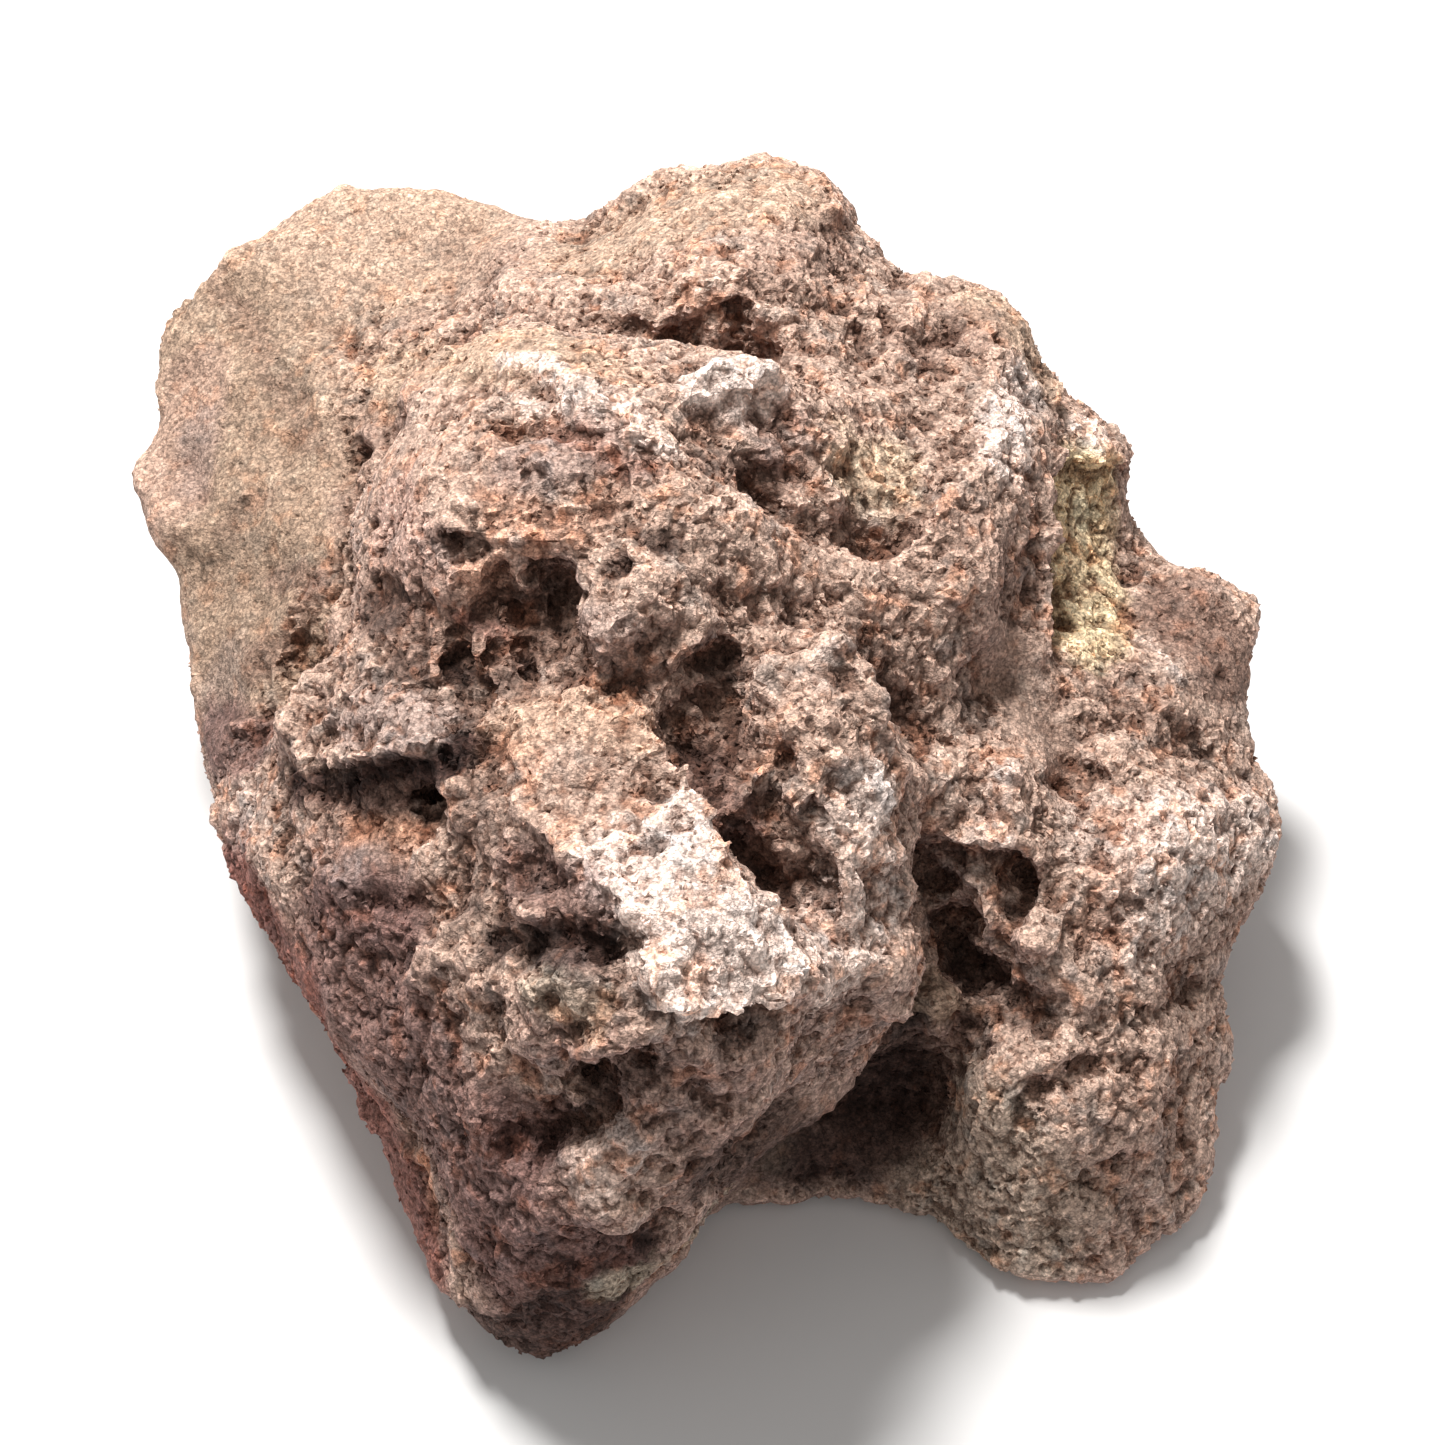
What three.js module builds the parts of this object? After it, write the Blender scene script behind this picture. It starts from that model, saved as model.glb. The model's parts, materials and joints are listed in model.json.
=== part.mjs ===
// Lava rock: a fist-sized lump of cooled, bubbly lava, broken loose and lying on its own feet.
//
// Millimetres, +Z up, +X to the right and +Y to the back. The origin is on the surface that the
// rock lies on, under the middle of its box.
//
// The rock is a single natural piece, so it is one solid. Its masses are convex lobes, joined where
// they have grown into each other: a low plate on the back left, a high crown, a spur that reaches
// forward and down to a foot, a pointed ridge in the middle, and a big lobe on the right.

import * as THREE from "three";
import { ConvexHull } from "three/addons/math/ConvexHull.js";
import { SimplexNoise } from "three/addons/math/SimplexNoise.js";
import { MarchingCubes } from "three/addons/objects/MarchingCubes.js";
import { mergeVertices } from "three/addons/utils/BufferGeometryUtils.js";

// ---- Driving dimensions -----------------------------------------------------------------------

const ROCK_WIDTH = 157; // overall, left to right
const FACE_LEAN = 50; // degrees above level that the rock's broken face looks
const FACE_HEIGHT = 50; // from the ground up to the middle of the face, as drawn
const SIGHT_DISTANCE = 301; // the face's corners are drawn as they line up from this far in front

const BLEND = 1.3; // how softly neighbouring lobes have grown into each other
const SWELL = 0.5; // how far the skin lies outside the drawn lobes
const CELL = 4.5; // size of the cells that the surface is drawn through
const CELLS = 44; // along each edge of the block of cells that the rock is cut from
const BLOCK_SIZE = CELLS * CELL;
const BLOCK_CORNER = [-CELLS / 2, 3 - CELLS / 2, -1.5]; // of that block, counted in cells
const MOST_TRIANGLES = 15000; // that the block of cells has room for
const CLOSEST = 0.12; // of a cell: no crossing of the surface is nearer than this to a cell's corner
const SAME_POINT = 0.001; // corners of triangles nearer than this are one corner

const ROUGH_HEIGHT = 1.6; // how far the weathered surface wanders from the plain facets
const ROUGH_SEED = 7;
const ROUGH_LENGTH = 17; // from one bump to the next
const NOISE_SHIFT = 40; // bump lengths between the places where x, y and z read their wander
const FOOT_HEIGHT = 6; // below this, the wander fades out, so that the feet stay flat

// ---- The face: corners are [right, up, out] from the middle of the face ------------------------
// `depth` is how far a lobe runs back into the rock, and `taper` is how much it narrows on the way.

const PLATE = [
  // Far edge.
  { depth: 6, drop: 18, taper: 0.8, corners: [
    [-53, 66, -46], [-49, 69, -46], [-33, 68.5, -43], [-26, 66, -39], [-21, 61.5, -35],
    [-58, 62, -45], [-63.5, 58.5, -43], [-62.5, 53, -38], [-53, 38, -24], [-40, 36.5, -16],
    [-20, 49, -20],
  ] },
  // Left corner.
  { depth: 14, drop: 6, taper: 0.8, corners: [
    [-64, 56.5, -42], [-68.5, 54, -42], [-71, 50, -40], [-70.5, 42.5, -37], [-71.5, 34.5, -34],
    [-73.5, 26, -30], [-73, 24, -28], [-69.5, 22, -25], [-58, 25, -20], [-49, 25, -16],
    [-49, 38, -22], [-56.5, 49, -34],
  ] },
  // Beside the crown.
  { depth: 24, taper: 0.8, corners: [
    [-69, 22, -30], [-67.5, 15, -27], [-67, 9, -25], [-66.5, 3, -22], [-53, 4, -12],
    [-48, 15, -10], [-46.5, 28, -14], [-61.5, 23, -23],
  ] },
  // Down to the near left.
  { depth: 20, taper: 0.8, corners: [
    [-67, 3, -25], [-66, -3, -24], [-65, -8, -22], [-64, -9, -20], [-56.5, -5, -12],
    [-55, 1.5, -10], [-60, 2, -15], [-63.5, 1, -18],
  ] },
];

const LEFT_BLOCK = [
  // Small outer knob.
  { depth: 18, taper: 0.8, corners: [
    [-65, -10, -16], [-64, -14, -16], [-62, -18, -12], [-57.5, -19, -4], [-56, -8.5, -2],
    [-57.5, -5, -6], [-61, -7.5, -9],
  ] },
  // Upper ledge.
  { depth: 34, taper: 0.8, corners: [
    [-56, 3, -2], [-57, -3, -3], [-57, -10, -3], [-56, -15, 0], [-53, 5, 4], [-48, 7.5, 10],
    [-35, 7, 20], [-30, 3.5, 24], [-28, 0, 24], [-29, -3, 24], [-36.5, -6, 26], [-46.5, -6.5, 20],
    [-53, -6, 12], [-43, 4, 20],
  ] },
  // Lower ledge.
  { depth: 34, taper: 0.8, corners: [
    [-56.5, -8.5, -2], [-56, -15.5, 2], [-57, -19, 0], [-56, -23, 4], [-53, -20, 8],
    [-47, -21.5, 18], [-33, -20, 24], [-31.5, -15, 24], [-38, -10, 20], [-49, -10, 12],
  ] },
];

const LEFT_FLANK = [
  // Shoulder.
  { depth: 24, taper: 0.8, corners: [
    [-60, -21.5, -9], [-57.5, -26, -9], [-53, -33.5, -8], [-48.5, -41, -6], [-57.5, -19, 0],
    [-53, -22, 8], [-47, -22, 18], [-49, -36, 12], [-38, -25, 26], [-35, -37, 28],
    [-40, -44, 20], [-43, -45, 6],
  ] },
  // Down to the tip.
  { depth: 22, taper: 0.75, corners: [
    [-47.5, -41, -6], [-41.5, -49, -5], [-40, -55, -3], [-39, -62, -1], [-37, -68, 1],
    [-33, -73, 3], [-31, -75.5, 4], [-23, -78, 5], [-40, -42, 16], [-31.5, -40, 30],
    [-28, -53.5, 32], [-23, -66, 28], [-20, -75, 16],
  ] },
];

const SPUR = [
  // Its root on the body.
  { depth: 40, taper: 0.8, corners: [
    [-28, 1, 24], [-25, 3, 26], [-18, 3.5, 28], [-12, 4, 30], [-8.5, 2, 30], [-7, -7, 32],
    [-3, -14, 34], [-15, -5, 34], [-25, -7, 32], [-31.5, -10, 28], [-33, -16, 28], [-23, -16, 36],
  ] },
  // Right crest.
  { depth: 40, taper: 0.8, corners: [
    [-10, -10, 36], [-3, -14, 37], [3, -20, 40], [6, -23, 42], [11, -28, 36], [12, -30, 34],
    [11, -35, 34], [6, -35, 42], [-3, -36, 48], [-9, -35, 48], [-15, -32, 44], [-10, -27, 47],
    [-3, -26, 48], [-13, -18.5, 42], [-20, -13.5, 38],
  ] },
  // Left shoulder.
  { depth: 36, taper: 0.8, corners: [
    [-27, -22, 36], [-20, -22, 38], [-13, -20, 42], [-28, -35, 38], [-25, -42, 38],
    [-20, -46, 38], [-10, -40, 44], [-20, -33.5, 44], [-33, -27, 30], [-35, -32, 28],
  ] },
  // Right side, above the hollow.
  { depth: 34, taper: 0.8, corners: [
    [-9, -36, 44], [0, -36.5, 44], [8.5, -36, 36], [9, -42, 32], [5.5, -46, 30], [2, -51, 26],
    [-3, -57, 24], [-4, -61, 22], [-10, -60, 34], [-13, -47, 38], [-15, -41, 40],
  ] },
  // Bump over the tip.
  { depth: 26, taper: 0.8, corners: [
    [-21.5, -57, 32], [-15, -52, 36], [-10, -52, 37], [-8, -58.5, 34], [-12, -65, 32],
    [-20, -63, 31], [-22, -61, 30],
  ] },
  // Tip.
  { depth: 24, taper: 0.8, corners: [
    [-30, -53.5, 30], [-20, -57, 30], [-13, -65, 28], [-15, -71, 20], [-14, -73, 12],
    [-15.5, -75, 8], [-18, -78, 5], [-22, -79, 4], [-28, -76, 6], [-31.5, -73.5, 10],
    [-35, -67, 12], [-34, -57, 24],
  ] },
  // Core of the lower half.
  { depth: 24, taper: 0.85, corners: [
    [-30, -46, 26], [-10, -44, 32], [-32, -60, 18], [-6, -60, 20], [-24, -73, 10], [-13, -70, 12],
  ] },
  // Smooth strip under the right side.
  { depth: 16, taper: 0.9, corners: [
    [-15, -71, 14], [-9, -65, 18], [-3, -58.5, 20], [5, -52, 12], [10, -49.5, 8], [-1, -61, 0],
    [-5, -64, 4], [-7, -67.5, 5], [-9, -70, 5], [-13.5, -73, 6], [-18, -76, 6],
  ] },
];

const MIDDLE_RIDGE = [
  // Apex.
  { depth: 40, taper: 0.8, corners: [
    [5, 8, 22], [10, 11, 24], [14.5, 10, 24], [16, 7, 24], [20, 2.5, 24], [23, -3, 22],
    [23, -10, 22], [13.5, 0, 34], [7, 3, 30], [3, 3, 26], [2, -6, 26], [12, -8.5, 32], [7, -10, 26],
  ] },
  // Long right side.
  { depth: 44, taper: 0.8, corners: [
    [8.5, -10, 26], [17, -8.5, 30], [23, -10, 22], [22, -16, 20], [24, -22, 20], [25, -30, 18],
    [22, -34, 18], [18.5, -36, 18], [16, -30, 30], [13.5, -20, 30], [10, -16, 24],
  ] },
  // Lower end.
  { depth: 36, taper: 0.8, corners: [
    [11.5, -30, 26], [16, -30, 28], [22, -34, 16], [18, -36, 16], [17, -40, 14], [16, -44, 12],
    [13, -47, 10], [10, -49, 10], [5, -50, 12], [8.5, -42, 22], [10, -35, 26],
  ] },
  // Web back to the spur.
  { depth: 40, taper: 0.9, corners: [
    [-10, 3, 14], [5, 0, 14], [8.5, -16, 20], [11.5, -28.5, 26], [2, -20, 26], [-4, -12, 20],
  ] },
  // Round knob behind the apex.
  { depth: 30, taper: 0.9, corners: [
    [-7, 8, 22], [-4, 10, 24], [0, 14, 24], [4, 15, 24], [6, 10, 22], [3.5, 4, 20], [-3, 3, 18],
    [-7, 4, 18],
  ] },
];

const CROWN = [
  // Left half.
  { depth: 36, taper: 0.8, corners: [
    [-46, 28, -4], [-46.5, 22, -2], [-46, 16.5, 4], [-42, 35, 2], [-40, 32, 12], [-34, 35, 16],
    [-25, 31.5, 22], [-36.5, 25, 22], [-28, 25, 26], [-40, 20, 18], [-31.5, 16.5, 26],
    [-36.5, 10, 20], [-41.5, 9, 14], [-45, 13, 8], [-23, 20, 28],
  ] },
  // Top, towards the plate.
  { depth: 40, taper: 0.8, corners: [
    [-40, 43, -6], [-34, 46.5, -4], [-28, 49, 0], [-20, 50, 2], [-25, 44, 14], [-16.5, 41, 20],
    [-9, 36, 22], [-4, 30, 22], [-20, 30, 26], [-31.5, 36.5, 18], [-40, 38, 4], [-10, 23, 28],
    [-20, 23, 28],
  ] },
  // Arched ridge.
  { depth: 36, taper: 0.8, corners: [
    [-20, 47, 4], [-15, 49, 6], [-10, 48.5, 8], [-3, 43, 12], [3, 45, 10], [7, 44, 8],
    [10, 42, 8], [8.5, 34, 12], [-3, 34, 20], [-10, 38, 20], [-16.5, 42, 16],
  ] },
  // Nodule in the middle.
  { depth: 34, taper: 0.8, corners: [
    [-18, 20, 26], [-10, 22, 30], [-4, 20, 28], [-4, 13, 28], [-8, 8, 26], [-15, 8, 28],
    [-18, 15, 28], [-11.5, 15, 34],
  ] },
  // Foot of the ravine.
  { depth: 30, taper: 0.9, corners: [
    [-22, 10, 20], [-16.5, 10, 24], [-9, 5, 22], [-8, 0, 22], [-15, 3, 26], [-23, 5, 22],
  ] },
  // Short second ridge.
  { depth: 40, taper: 0.9, corners: [
    [-9, 31.5, 24], [-3, 29, 24], [3.5, 28, 22], [10, 20, 20], [7, 15, 22], [2, 15, 24],
    [-4, 20, 26], [-8, 25, 28],
  ] },
  // Small column on the right.
  { depth: 40, taper: 0.9, corners: [
    [8.5, 23, 14], [16, 22, 14], [18.5, 19, 12], [17, 13, 12], [22, 10, 8], [16, 9, 14],
    [8.5, 11.5, 18],
  ] },
  // Under the left half.
  { depth: 30, taper: 0.9, corners: [
    [-48, 15, -4], [-46.5, 5, 4], [-30, 4, 12], [-20, 3, 14], [-18, 15, 14], [-25, 23, 16],
    [-40, 20, 8],
  ] },
];

const BACK_MASS = [
  // High brow.
  { depth: 6, drop: 26, taper: 0.8, corners: [
    [-10, 65.5, -30], [-8, 67, -32], [-3, 67.5, -32], [1.5, 71, -32], [3.5, 72.5, -32], [9, 72, -31],
    [13, 71, -30], [16.5, 68, -28], [17, 63, -26], [14, 59, -18], [10, 54, -10], [7, 49, -6],
    [2, 53, -4], [-4, 52, -3], [-10, 53, -4], [-11.5, 56.5, -12], [0, 63, -16], [7, 63, -14],
  ] },
  // Low saddle beside the plate.
  { depth: 6, drop: 24, taper: 0.8, corners: [
    [-25, 61, -38], [-21, 60.5, -36], [-18, 62, -36], [-14, 62.5, -35], [-10, 65, -34],
    [-3, 68, -34], [-10, 51.5, -8], [-20, 50, -6], [-28, 50, -8], [-30, 53, -18],
  ] },
  // Shaded right end.
  { depth: 6, drop: 26, taper: 0.85, corners: [
    [16, 63, -34], [19, 61, -33], [22, 59, -32], [24, 56, -30], [26, 53, -22], [21, 46.5, -12],
    [12, 43, -4], [8.5, 48, -8], [12, 55, -16],
  ] },
  // Corner next to the crest.
  { depth: 20, taper: 0.9, corners: [
    [10, 53, -12], [17, 55, -14], [21, 53, -14], [21, 48, -10], [13.5, 43, -2], [10, 46.5, -6],
  ] },
];

const RIGHT_CREST = [
  // Top, with its flat facet.
  { depth: 12, drop: 24, taper: 0.8, corners: [
    [24, 56, -28], [26, 57, -27], [30, 57, -26], [33.5, 54, -24], [36, 54, -24], [39, 51, -23],
    [40.5, 47, -22], [41.5, 41, -20], [41, 34, -14], [35, 49, -12], [26, 51.5, -16],
    [23.5, 48, -10], [35, 34, -1], [30, 35, -2], [27, 40, -4],
  ] },
  // Front of the crest.
  { depth: 44, taper: 0.8, corners: [
    [31.5, 35, 2], [41, 35, -14], [41, 28, -12], [41, 22, -12], [39, 16.5, -12], [35, 25, 4],
    [30, 28, 4], [22, 24, 6], [22, 13, 8], [30, 13, 6], [36, 10, -6], [30, 20, 8],
  ] },
  // Column below it.
  { depth: 44, taper: 0.8, corners: [
    [18.5, 23, 8], [22, 24, 6], [30, 15, 6], [36, 10, -6], [30, 3, -2], [27, 1.5, 4], [21, 3, 8],
    [17, 10, 8], [16, 15, 10],
  ] },
  // Neck to the crown.
  { depth: 40, taper: 0.9, corners: [
    [10, 43, 2], [22, 43, -6], [30, 35, -4], [27, 28, 0], [17, 23, 6], [10, 25, 10], [10, 35, 8],
  ] },
  // Knob.
  { depth: 14, drop: 10, taper: 0.8, corners: [
    [41.5, 41, -30], [45, 40, -30], [49, 38, -29], [51, 36, -29], [52, 34, -28], [51, 31.5, -26],
    [49.5, 30, -24], [42, 30, -18], [41, 35, -20], [46, 35, -20],
  ] },
  // Column under the knob.
  { depth: 26, taper: 0.9, corners: [
    [41, 30, -24], [47.5, 29, -28], [47.5, 24, -30], [47, 15, -24], [41, 13, -18], [40, 20, -18],
  ] },
];

const RIGHT_LOBE = [
  // Far slope.
  { depth: 12, drop: 12, taper: 0.9, corners: [
    [46, 23, -34], [49, 22.5, -34], [51.5, 21.5, -34], [54, 19, -34], [57, 16, -33],
    [55, 10, -24], [47, 13, -24],
  ] },
  // Smooth upper part.
  { depth: 18, drop: 8, taper: 0.8, corners: [
    [57.5, 18, -30], [60, 19, -30], [62, 19.5, -30], [66, 18, -29], [67, 15, -28],
    [67, 11.5, -27], [66, 3, -22], [66, -4.5, -18], [53.5, 10, -18], [41, 9, -10], [40, 0, -6],
    [53.5, 0, -8], [47, 15, -24], [60, 13, -20],
  ] },
  // Middle, where it is widest.
  { depth: 22, taper: 0.8, corners: [
    [66, -4.5, -18], [69, -6.5, -19], [70.5, -10, -18], [70.5, -14, -16], [69.5, -18, -14],
    [67.5, -23, -12], [65, -27, -12], [63, -31, -12], [48.5, -2, -4], [53.5, -10, 2],
    [57, -16, 4], [42, -10, 2], [41, -22, 6], [50, -25, 8], [60, -17, -2],
  ] },
  // Foot.
  { depth: 15, taper: 0.8, corners: [
    [63, -31, -13], [63, -36, -12], [63.5, -45, -12], [61, -51.5, -11], [62, -54.5, -10],
    [60, -56.5, -9], [59.5, -61, -8], [57, -64, -6], [52, -69, -4], [46, -71, -4], [40, -71, -4],
    [35, -69, -5], [31, -67, -6], [28, -63, -8], [22, -60, -12], [41, -22, 6], [53.5, -28.5, 4],
    [41, -47, 10], [32, -47, 6], [53.5, -47, 5], [30, -57, -2], [35, -38.5, 0],
    [44, -62, 4], [54, -57, 2], [36, -61, 2],
  ] },
  // Under the knob's column.
  { depth: 40, taper: 0.9, corners: [
    [30, 13, -4], [40, 11.5, -14], [41, 3, -8], [41, -7, -2], [32, -5, 4], [26, 3, 4],
  ] },
  // Ledge beside the ridge.
  { depth: 34, taper: 0.9, corners: [
    [23, -3.5, 8], [30, -3, 8], [36, -5, 6], [40, -10, 4], [40, -15, 4], [35, -15, 10],
    [27, -13.5, 10], [23.5, -12, 8],
  ] },
  // Hanging ledge over the notch.
  { depth: 24, taper: 0.9, corners: [
    [20, -33, 4], [26, -31.5, 2], [31.5, -33, 0], [32.5, -37, -2], [30, -40, -2], [23.5, -38.5, 0],
    [20, -36, 4],
  ] },
  // Wall behind the notch.
  { depth: 18, taper: 0.9, corners: [
    [22, -15, -6], [35, -17, -4], [41, -28.5, -6], [41, -40, -8], [30, -42, -14], [22, -35, -12],
  ] },
  // Foot of that wall.
  { depth: 9, taper: 0.95, corners: [
    [0, -53.5, -6], [16, -41, -18], [28.5, -41, -16], [30, -57, -11], [22, -60, -11],
    [10, -61, -10], [-1, -61, -10],
  ] },
];

const HEART = [
  // Inside the whole rock.
  { depth: 22, taper: 0.9, corners: [
    [-52, 25, -24], [-40, 44, -22], [0, 60, -32], [26, 48, -30], [38, 28, -20], [48, 0, -24],
    [46, -30, -14], [20, -28, 0], [8, -38, 14], [-15, -52, 18], [-32, -58, 6], [-42, -34, 2],
    [-50, -5, -8], [-30, 25, 8], [-5, 25, 10], [-12, -8, 20],
  ] },
  // Inside the spur.
  { depth: 26, taper: 0.9, corners: [
    [-37, -22, 20], [-22, -18, 30], [-11, -24, 34], [-31, -12, 22],
    [-25, -8, 26], [-22, -31, 34], [-32, -37, 28], [-36, -46, 16], [-16, -48, 28], [-26, -56, 22],
  ] },
];

// ---- Body, back and feet: corners are [x, y, z], from the ground up ------------------------------

const BODY = [
  [-42, -25, 6], [-12, -28, 7], [40, -30, 7], [56, -8, 9], [54, 36, 8], [24, 58, 8],
  [-26, 58, 8], [-50, 26, 8], [-60, 0, 32], [-44, -30, 30], [60, -10, 30], [66, 15, 32],
  [50, 55, 32], [0, 74, 34], [-45, 70, 34], [-64, 35, 32], [-48, 40, 50], [-20, 68, 56],
  [20, 66, 62], [44, 36, 52], [30, 0, 52], [-28, -4, 56], [-40, 10, 50],
];

const BACK = [
  // Under the plate.
  [
    [-76, 44, 40], [-60, 70, 50], [-30, 80, 58], [-66, 62, 30], [-44, 78, 34], [-32, 64, 14],
    [-56, 40, 14], [-45, 20, 10], [-66, 22, 28], [-30, 40, 10],
  ],
  [[-58, 66, 46], [-44, 82, 54], [-26, 87, 46], [-34, 80, 30], [-56, 64, 30], [-40, 50, 40]],
  // Under the back mass.
  [
    [-26, 80, 60], [8, 76, 70], [24, 74, 60], [-18, 84, 40], [20, 80, 36], [-18, 70, 14],
    [22, 68, 12], [0, 60, 8], [-10, 40, 50], [20, 40, 50],
  ],
  [
    [-8, 83, 30], [12, 88, 44], [30, 80, 48], [38, 74, 28], [10, 80, 20], [-4, 70, 50],
    [30, 60, 50], [8, 60, 14],
  ],
  // Under the crest and the knob.
  [
    [44, 56, 58], [54, 44, 42], [66, 22, 36], [40, 68, 38], [60, 46, 24], [68, 20, 22],
    [32, 62, 12], [52, 40, 10], [58, 14, 10], [30, 30, 30],
  ],
];

const FEET = [
  [
    [-24, 40, 0], [-20, 52, 0], [2, 56, 0], [14, 48, 0], [8, 36, 0], [-10, 34, 0],
    [-36, 34, 18], [-26, 66, 18], [22, 66, 18], [32, 32, 18],
  ],
  [
    [-46, 8, 0], [-43, -4, 0], [-35, -4, 0], [-34, 12, 0], [-41, 16, 0],
    [-58, 10, 18], [-50, -14, 18], [-30, -14, 18], [-28, 26, 18], [-54, 28, 18],
  ],
];

// ---- Making the solid ---------------------------------------------------------------------------

const lean = THREE.MathUtils.degToRad(FACE_LEAN);
const faceToRock = new THREE.Matrix4().makeBasis(
  new THREE.Vector3(1, 0, 0),
  new THREE.Vector3(0, Math.sin(lean), Math.cos(lean)),
  new THREE.Vector3(0, -Math.cos(lean), Math.sin(lean)),
).setPosition(0, 0, FACE_HEIGHT);

/** A corner of the face, moved in or out along the line of sight that it was drawn on. */
function faceCorner([right, up, out]) {
  const spread = 1 - out / SIGHT_DISTANCE;
  return new THREE.Vector3(right * spread, up * spread, out);
}

/**
 * The corners of one lobe of the face: its front, and the same corners sunk into the rock and drawn
 * together. `depth` sinks them along the line of sight, and `drop` straight down.
 */
function lobeCorners({ depth, drop = 0, taper, corners }) {
  const front = corners.map(faceCorner);
  const centre = new THREE.Vector3();
  front.forEach((corner) => centre.addScaledVector(corner, 1 / front.length));
  const back = front.map((corner) => corner.clone().sub(centre).multiplyScalar(taper).add(centre));
  back.forEach((corner) => {
    corner.z -= depth;
  });
  [...front, ...back].forEach((corner) => corner.applyMatrix4(faceToRock));
  back.forEach((corner) => {
    corner.z -= drop;
  });
  return [...front, ...back];
}

/** The flat sides of every lobe of the rock. */
function allLobes() {
  const face = [
    PLATE, LEFT_BLOCK, LEFT_FLANK, SPUR, MIDDLE_RIDGE, CROWN, BACK_MASS, RIGHT_CREST, RIGHT_LOBE,
    HEART,
  ].flat().map(lobeCorners);
  const rest = [BODY, ...BACK, ...FEET].map((corners) => (
    corners.map((corner) => new THREE.Vector3(...corner))
  ));
  return [...face, ...rest].map((corners) => new ConvexHull().setFromPoints(corners).faces);
}

/** How deep a point lies inside the rock: in its lobes, blended together, and above the ground. */
function depthAt(point, lobes) {
  let sum = 0;
  for (const sides of lobes) {
    let depth = Infinity;
    for (const side of sides) {
      depth = Math.min(depth, -side.distanceToPoint(point));
    }
    sum += Math.exp(depth / BLEND);
  }
  return Math.min(BLEND * Math.log(sum) + SWELL, point.z);
}

/** Moves a point of the surface along with a slow, smooth wander. */
function weather(point, noise) {
  const [x, y, z] = point.toArray().map((value) => value / ROUGH_LENGTH);
  const hold = THREE.MathUtils.smoothstep(point.z, 0, FOOT_HEIGHT);
  point.x += ROUGH_HEIGHT * noise.noise3d(x, y, z);
  point.y += ROUGH_HEIGHT * noise.noise3d(x + NOISE_SHIFT, y, z);
  point.z += ROUGH_HEIGHT * hold * noise.noise3d(x, y + NOISE_SHIFT, z);
}

/** The rock's whole surface, drawn through a block of cells. */
function rockSurface() {
  const lobes = allLobes();
  const cubes = new MarchingCubes(CELLS, undefined, false, false, MOST_TRIANGLES);
  const corner = new THREE.Vector3(...BLOCK_CORNER).multiplyScalar(CELL);
  for (let k = 0; k < CELLS; k += 1) {
    for (let j = 0; j < CELLS; j += 1) {
      for (let i = 0; i < CELLS; i += 1) {
        const point = new THREE.Vector3(i, j, k).multiplyScalar(CELL).add(corner);
        const depth = depthAt(point, lobes);
        cubes.setCell(i, j, k, Math.sign(depth) * Math.max(Math.abs(depth), CLOSEST * CELL));
      }
    }
  }
  cubes.isolation = 0;
  cubes.update();
  const soup = cubes.geometry.attributes.position.array.slice(0, cubes.count * 3);
  const surface = new THREE.BufferGeometry();
  surface.setAttribute("position", new THREE.BufferAttribute(soup, 3));
  // MarchingCubes draws its block from -1 to 1.
  surface.translate(1, 1, 1);
  surface.scale(BLOCK_SIZE / 2, BLOCK_SIZE / 2, BLOCK_SIZE / 2);
  surface.translate(...corner);
  return mergeVertices(surface, SAME_POINT);
}

/** The surface, weathered, scaled to the rock's width and set on its origin. */
function rockGeometry() {
  THREE.MathUtils.seededRandom(ROUGH_SEED);
  const noise = new SimplexNoise({ random: () => THREE.MathUtils.seededRandom() });
  const geometry = rockSurface();
  const { position } = geometry.attributes;
  for (let i = 0; i < position.count; i += 1) {
    const point = new THREE.Vector3().fromBufferAttribute(position, i);
    weather(point, noise);
    position.setXYZ(i, ...point);
  }
  geometry.computeBoundingBox();
  const middle = geometry.boundingBox.getCenter(new THREE.Vector3());
  const size = geometry.boundingBox.getSize(new THREE.Vector3());
  const scale = ROCK_WIDTH / size.x;
  geometry.translate(-middle.x, -middle.y, -geometry.boundingBox.min.z);
  geometry.scale(scale, scale, scale);
  return geometry;
}

const rock = new THREE.Mesh(
  rockGeometry(),
  new THREE.MeshStandardMaterial({ color: 0x9c8779, roughness: 0.95, metalness: 0 }),
);
rock.name = "lava_rock";
const group = new THREE.Group();
group.add(rock);
export default group;
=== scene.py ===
# %% [markdown]
# # A lump of lava rock
#
# This lesson finishes a hand-sized lump of lava. The real thing is one piece of frothy melt that
# froze in mid-churn, broke loose, and has gathered dust since. What the eye reads as "lava" is not
# its outline but its layers of detail: masses as big as a plum, ledges and hollows as big as a pea,
# and a crumbly skin of grains and burst bubbles about a millimetre across.
#
# Each layer is made with the tool that suits its size. The masses come with the frame. The ledges
# and hollows are sculpted, one named stroke at a time. The broken grain is far too much to sculpt
# by hand, so Geometry Nodes grows it, and scatters the loose crumbs over it. The colour is brushed
# on in the same way as the hollows, and the material adds the specks that are too fine for either.

# %% Load the frame
import json
import math

import bpy
import numpy as np
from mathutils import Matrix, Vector, noise
from mathutils.bvhtree import BVHTree

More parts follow.
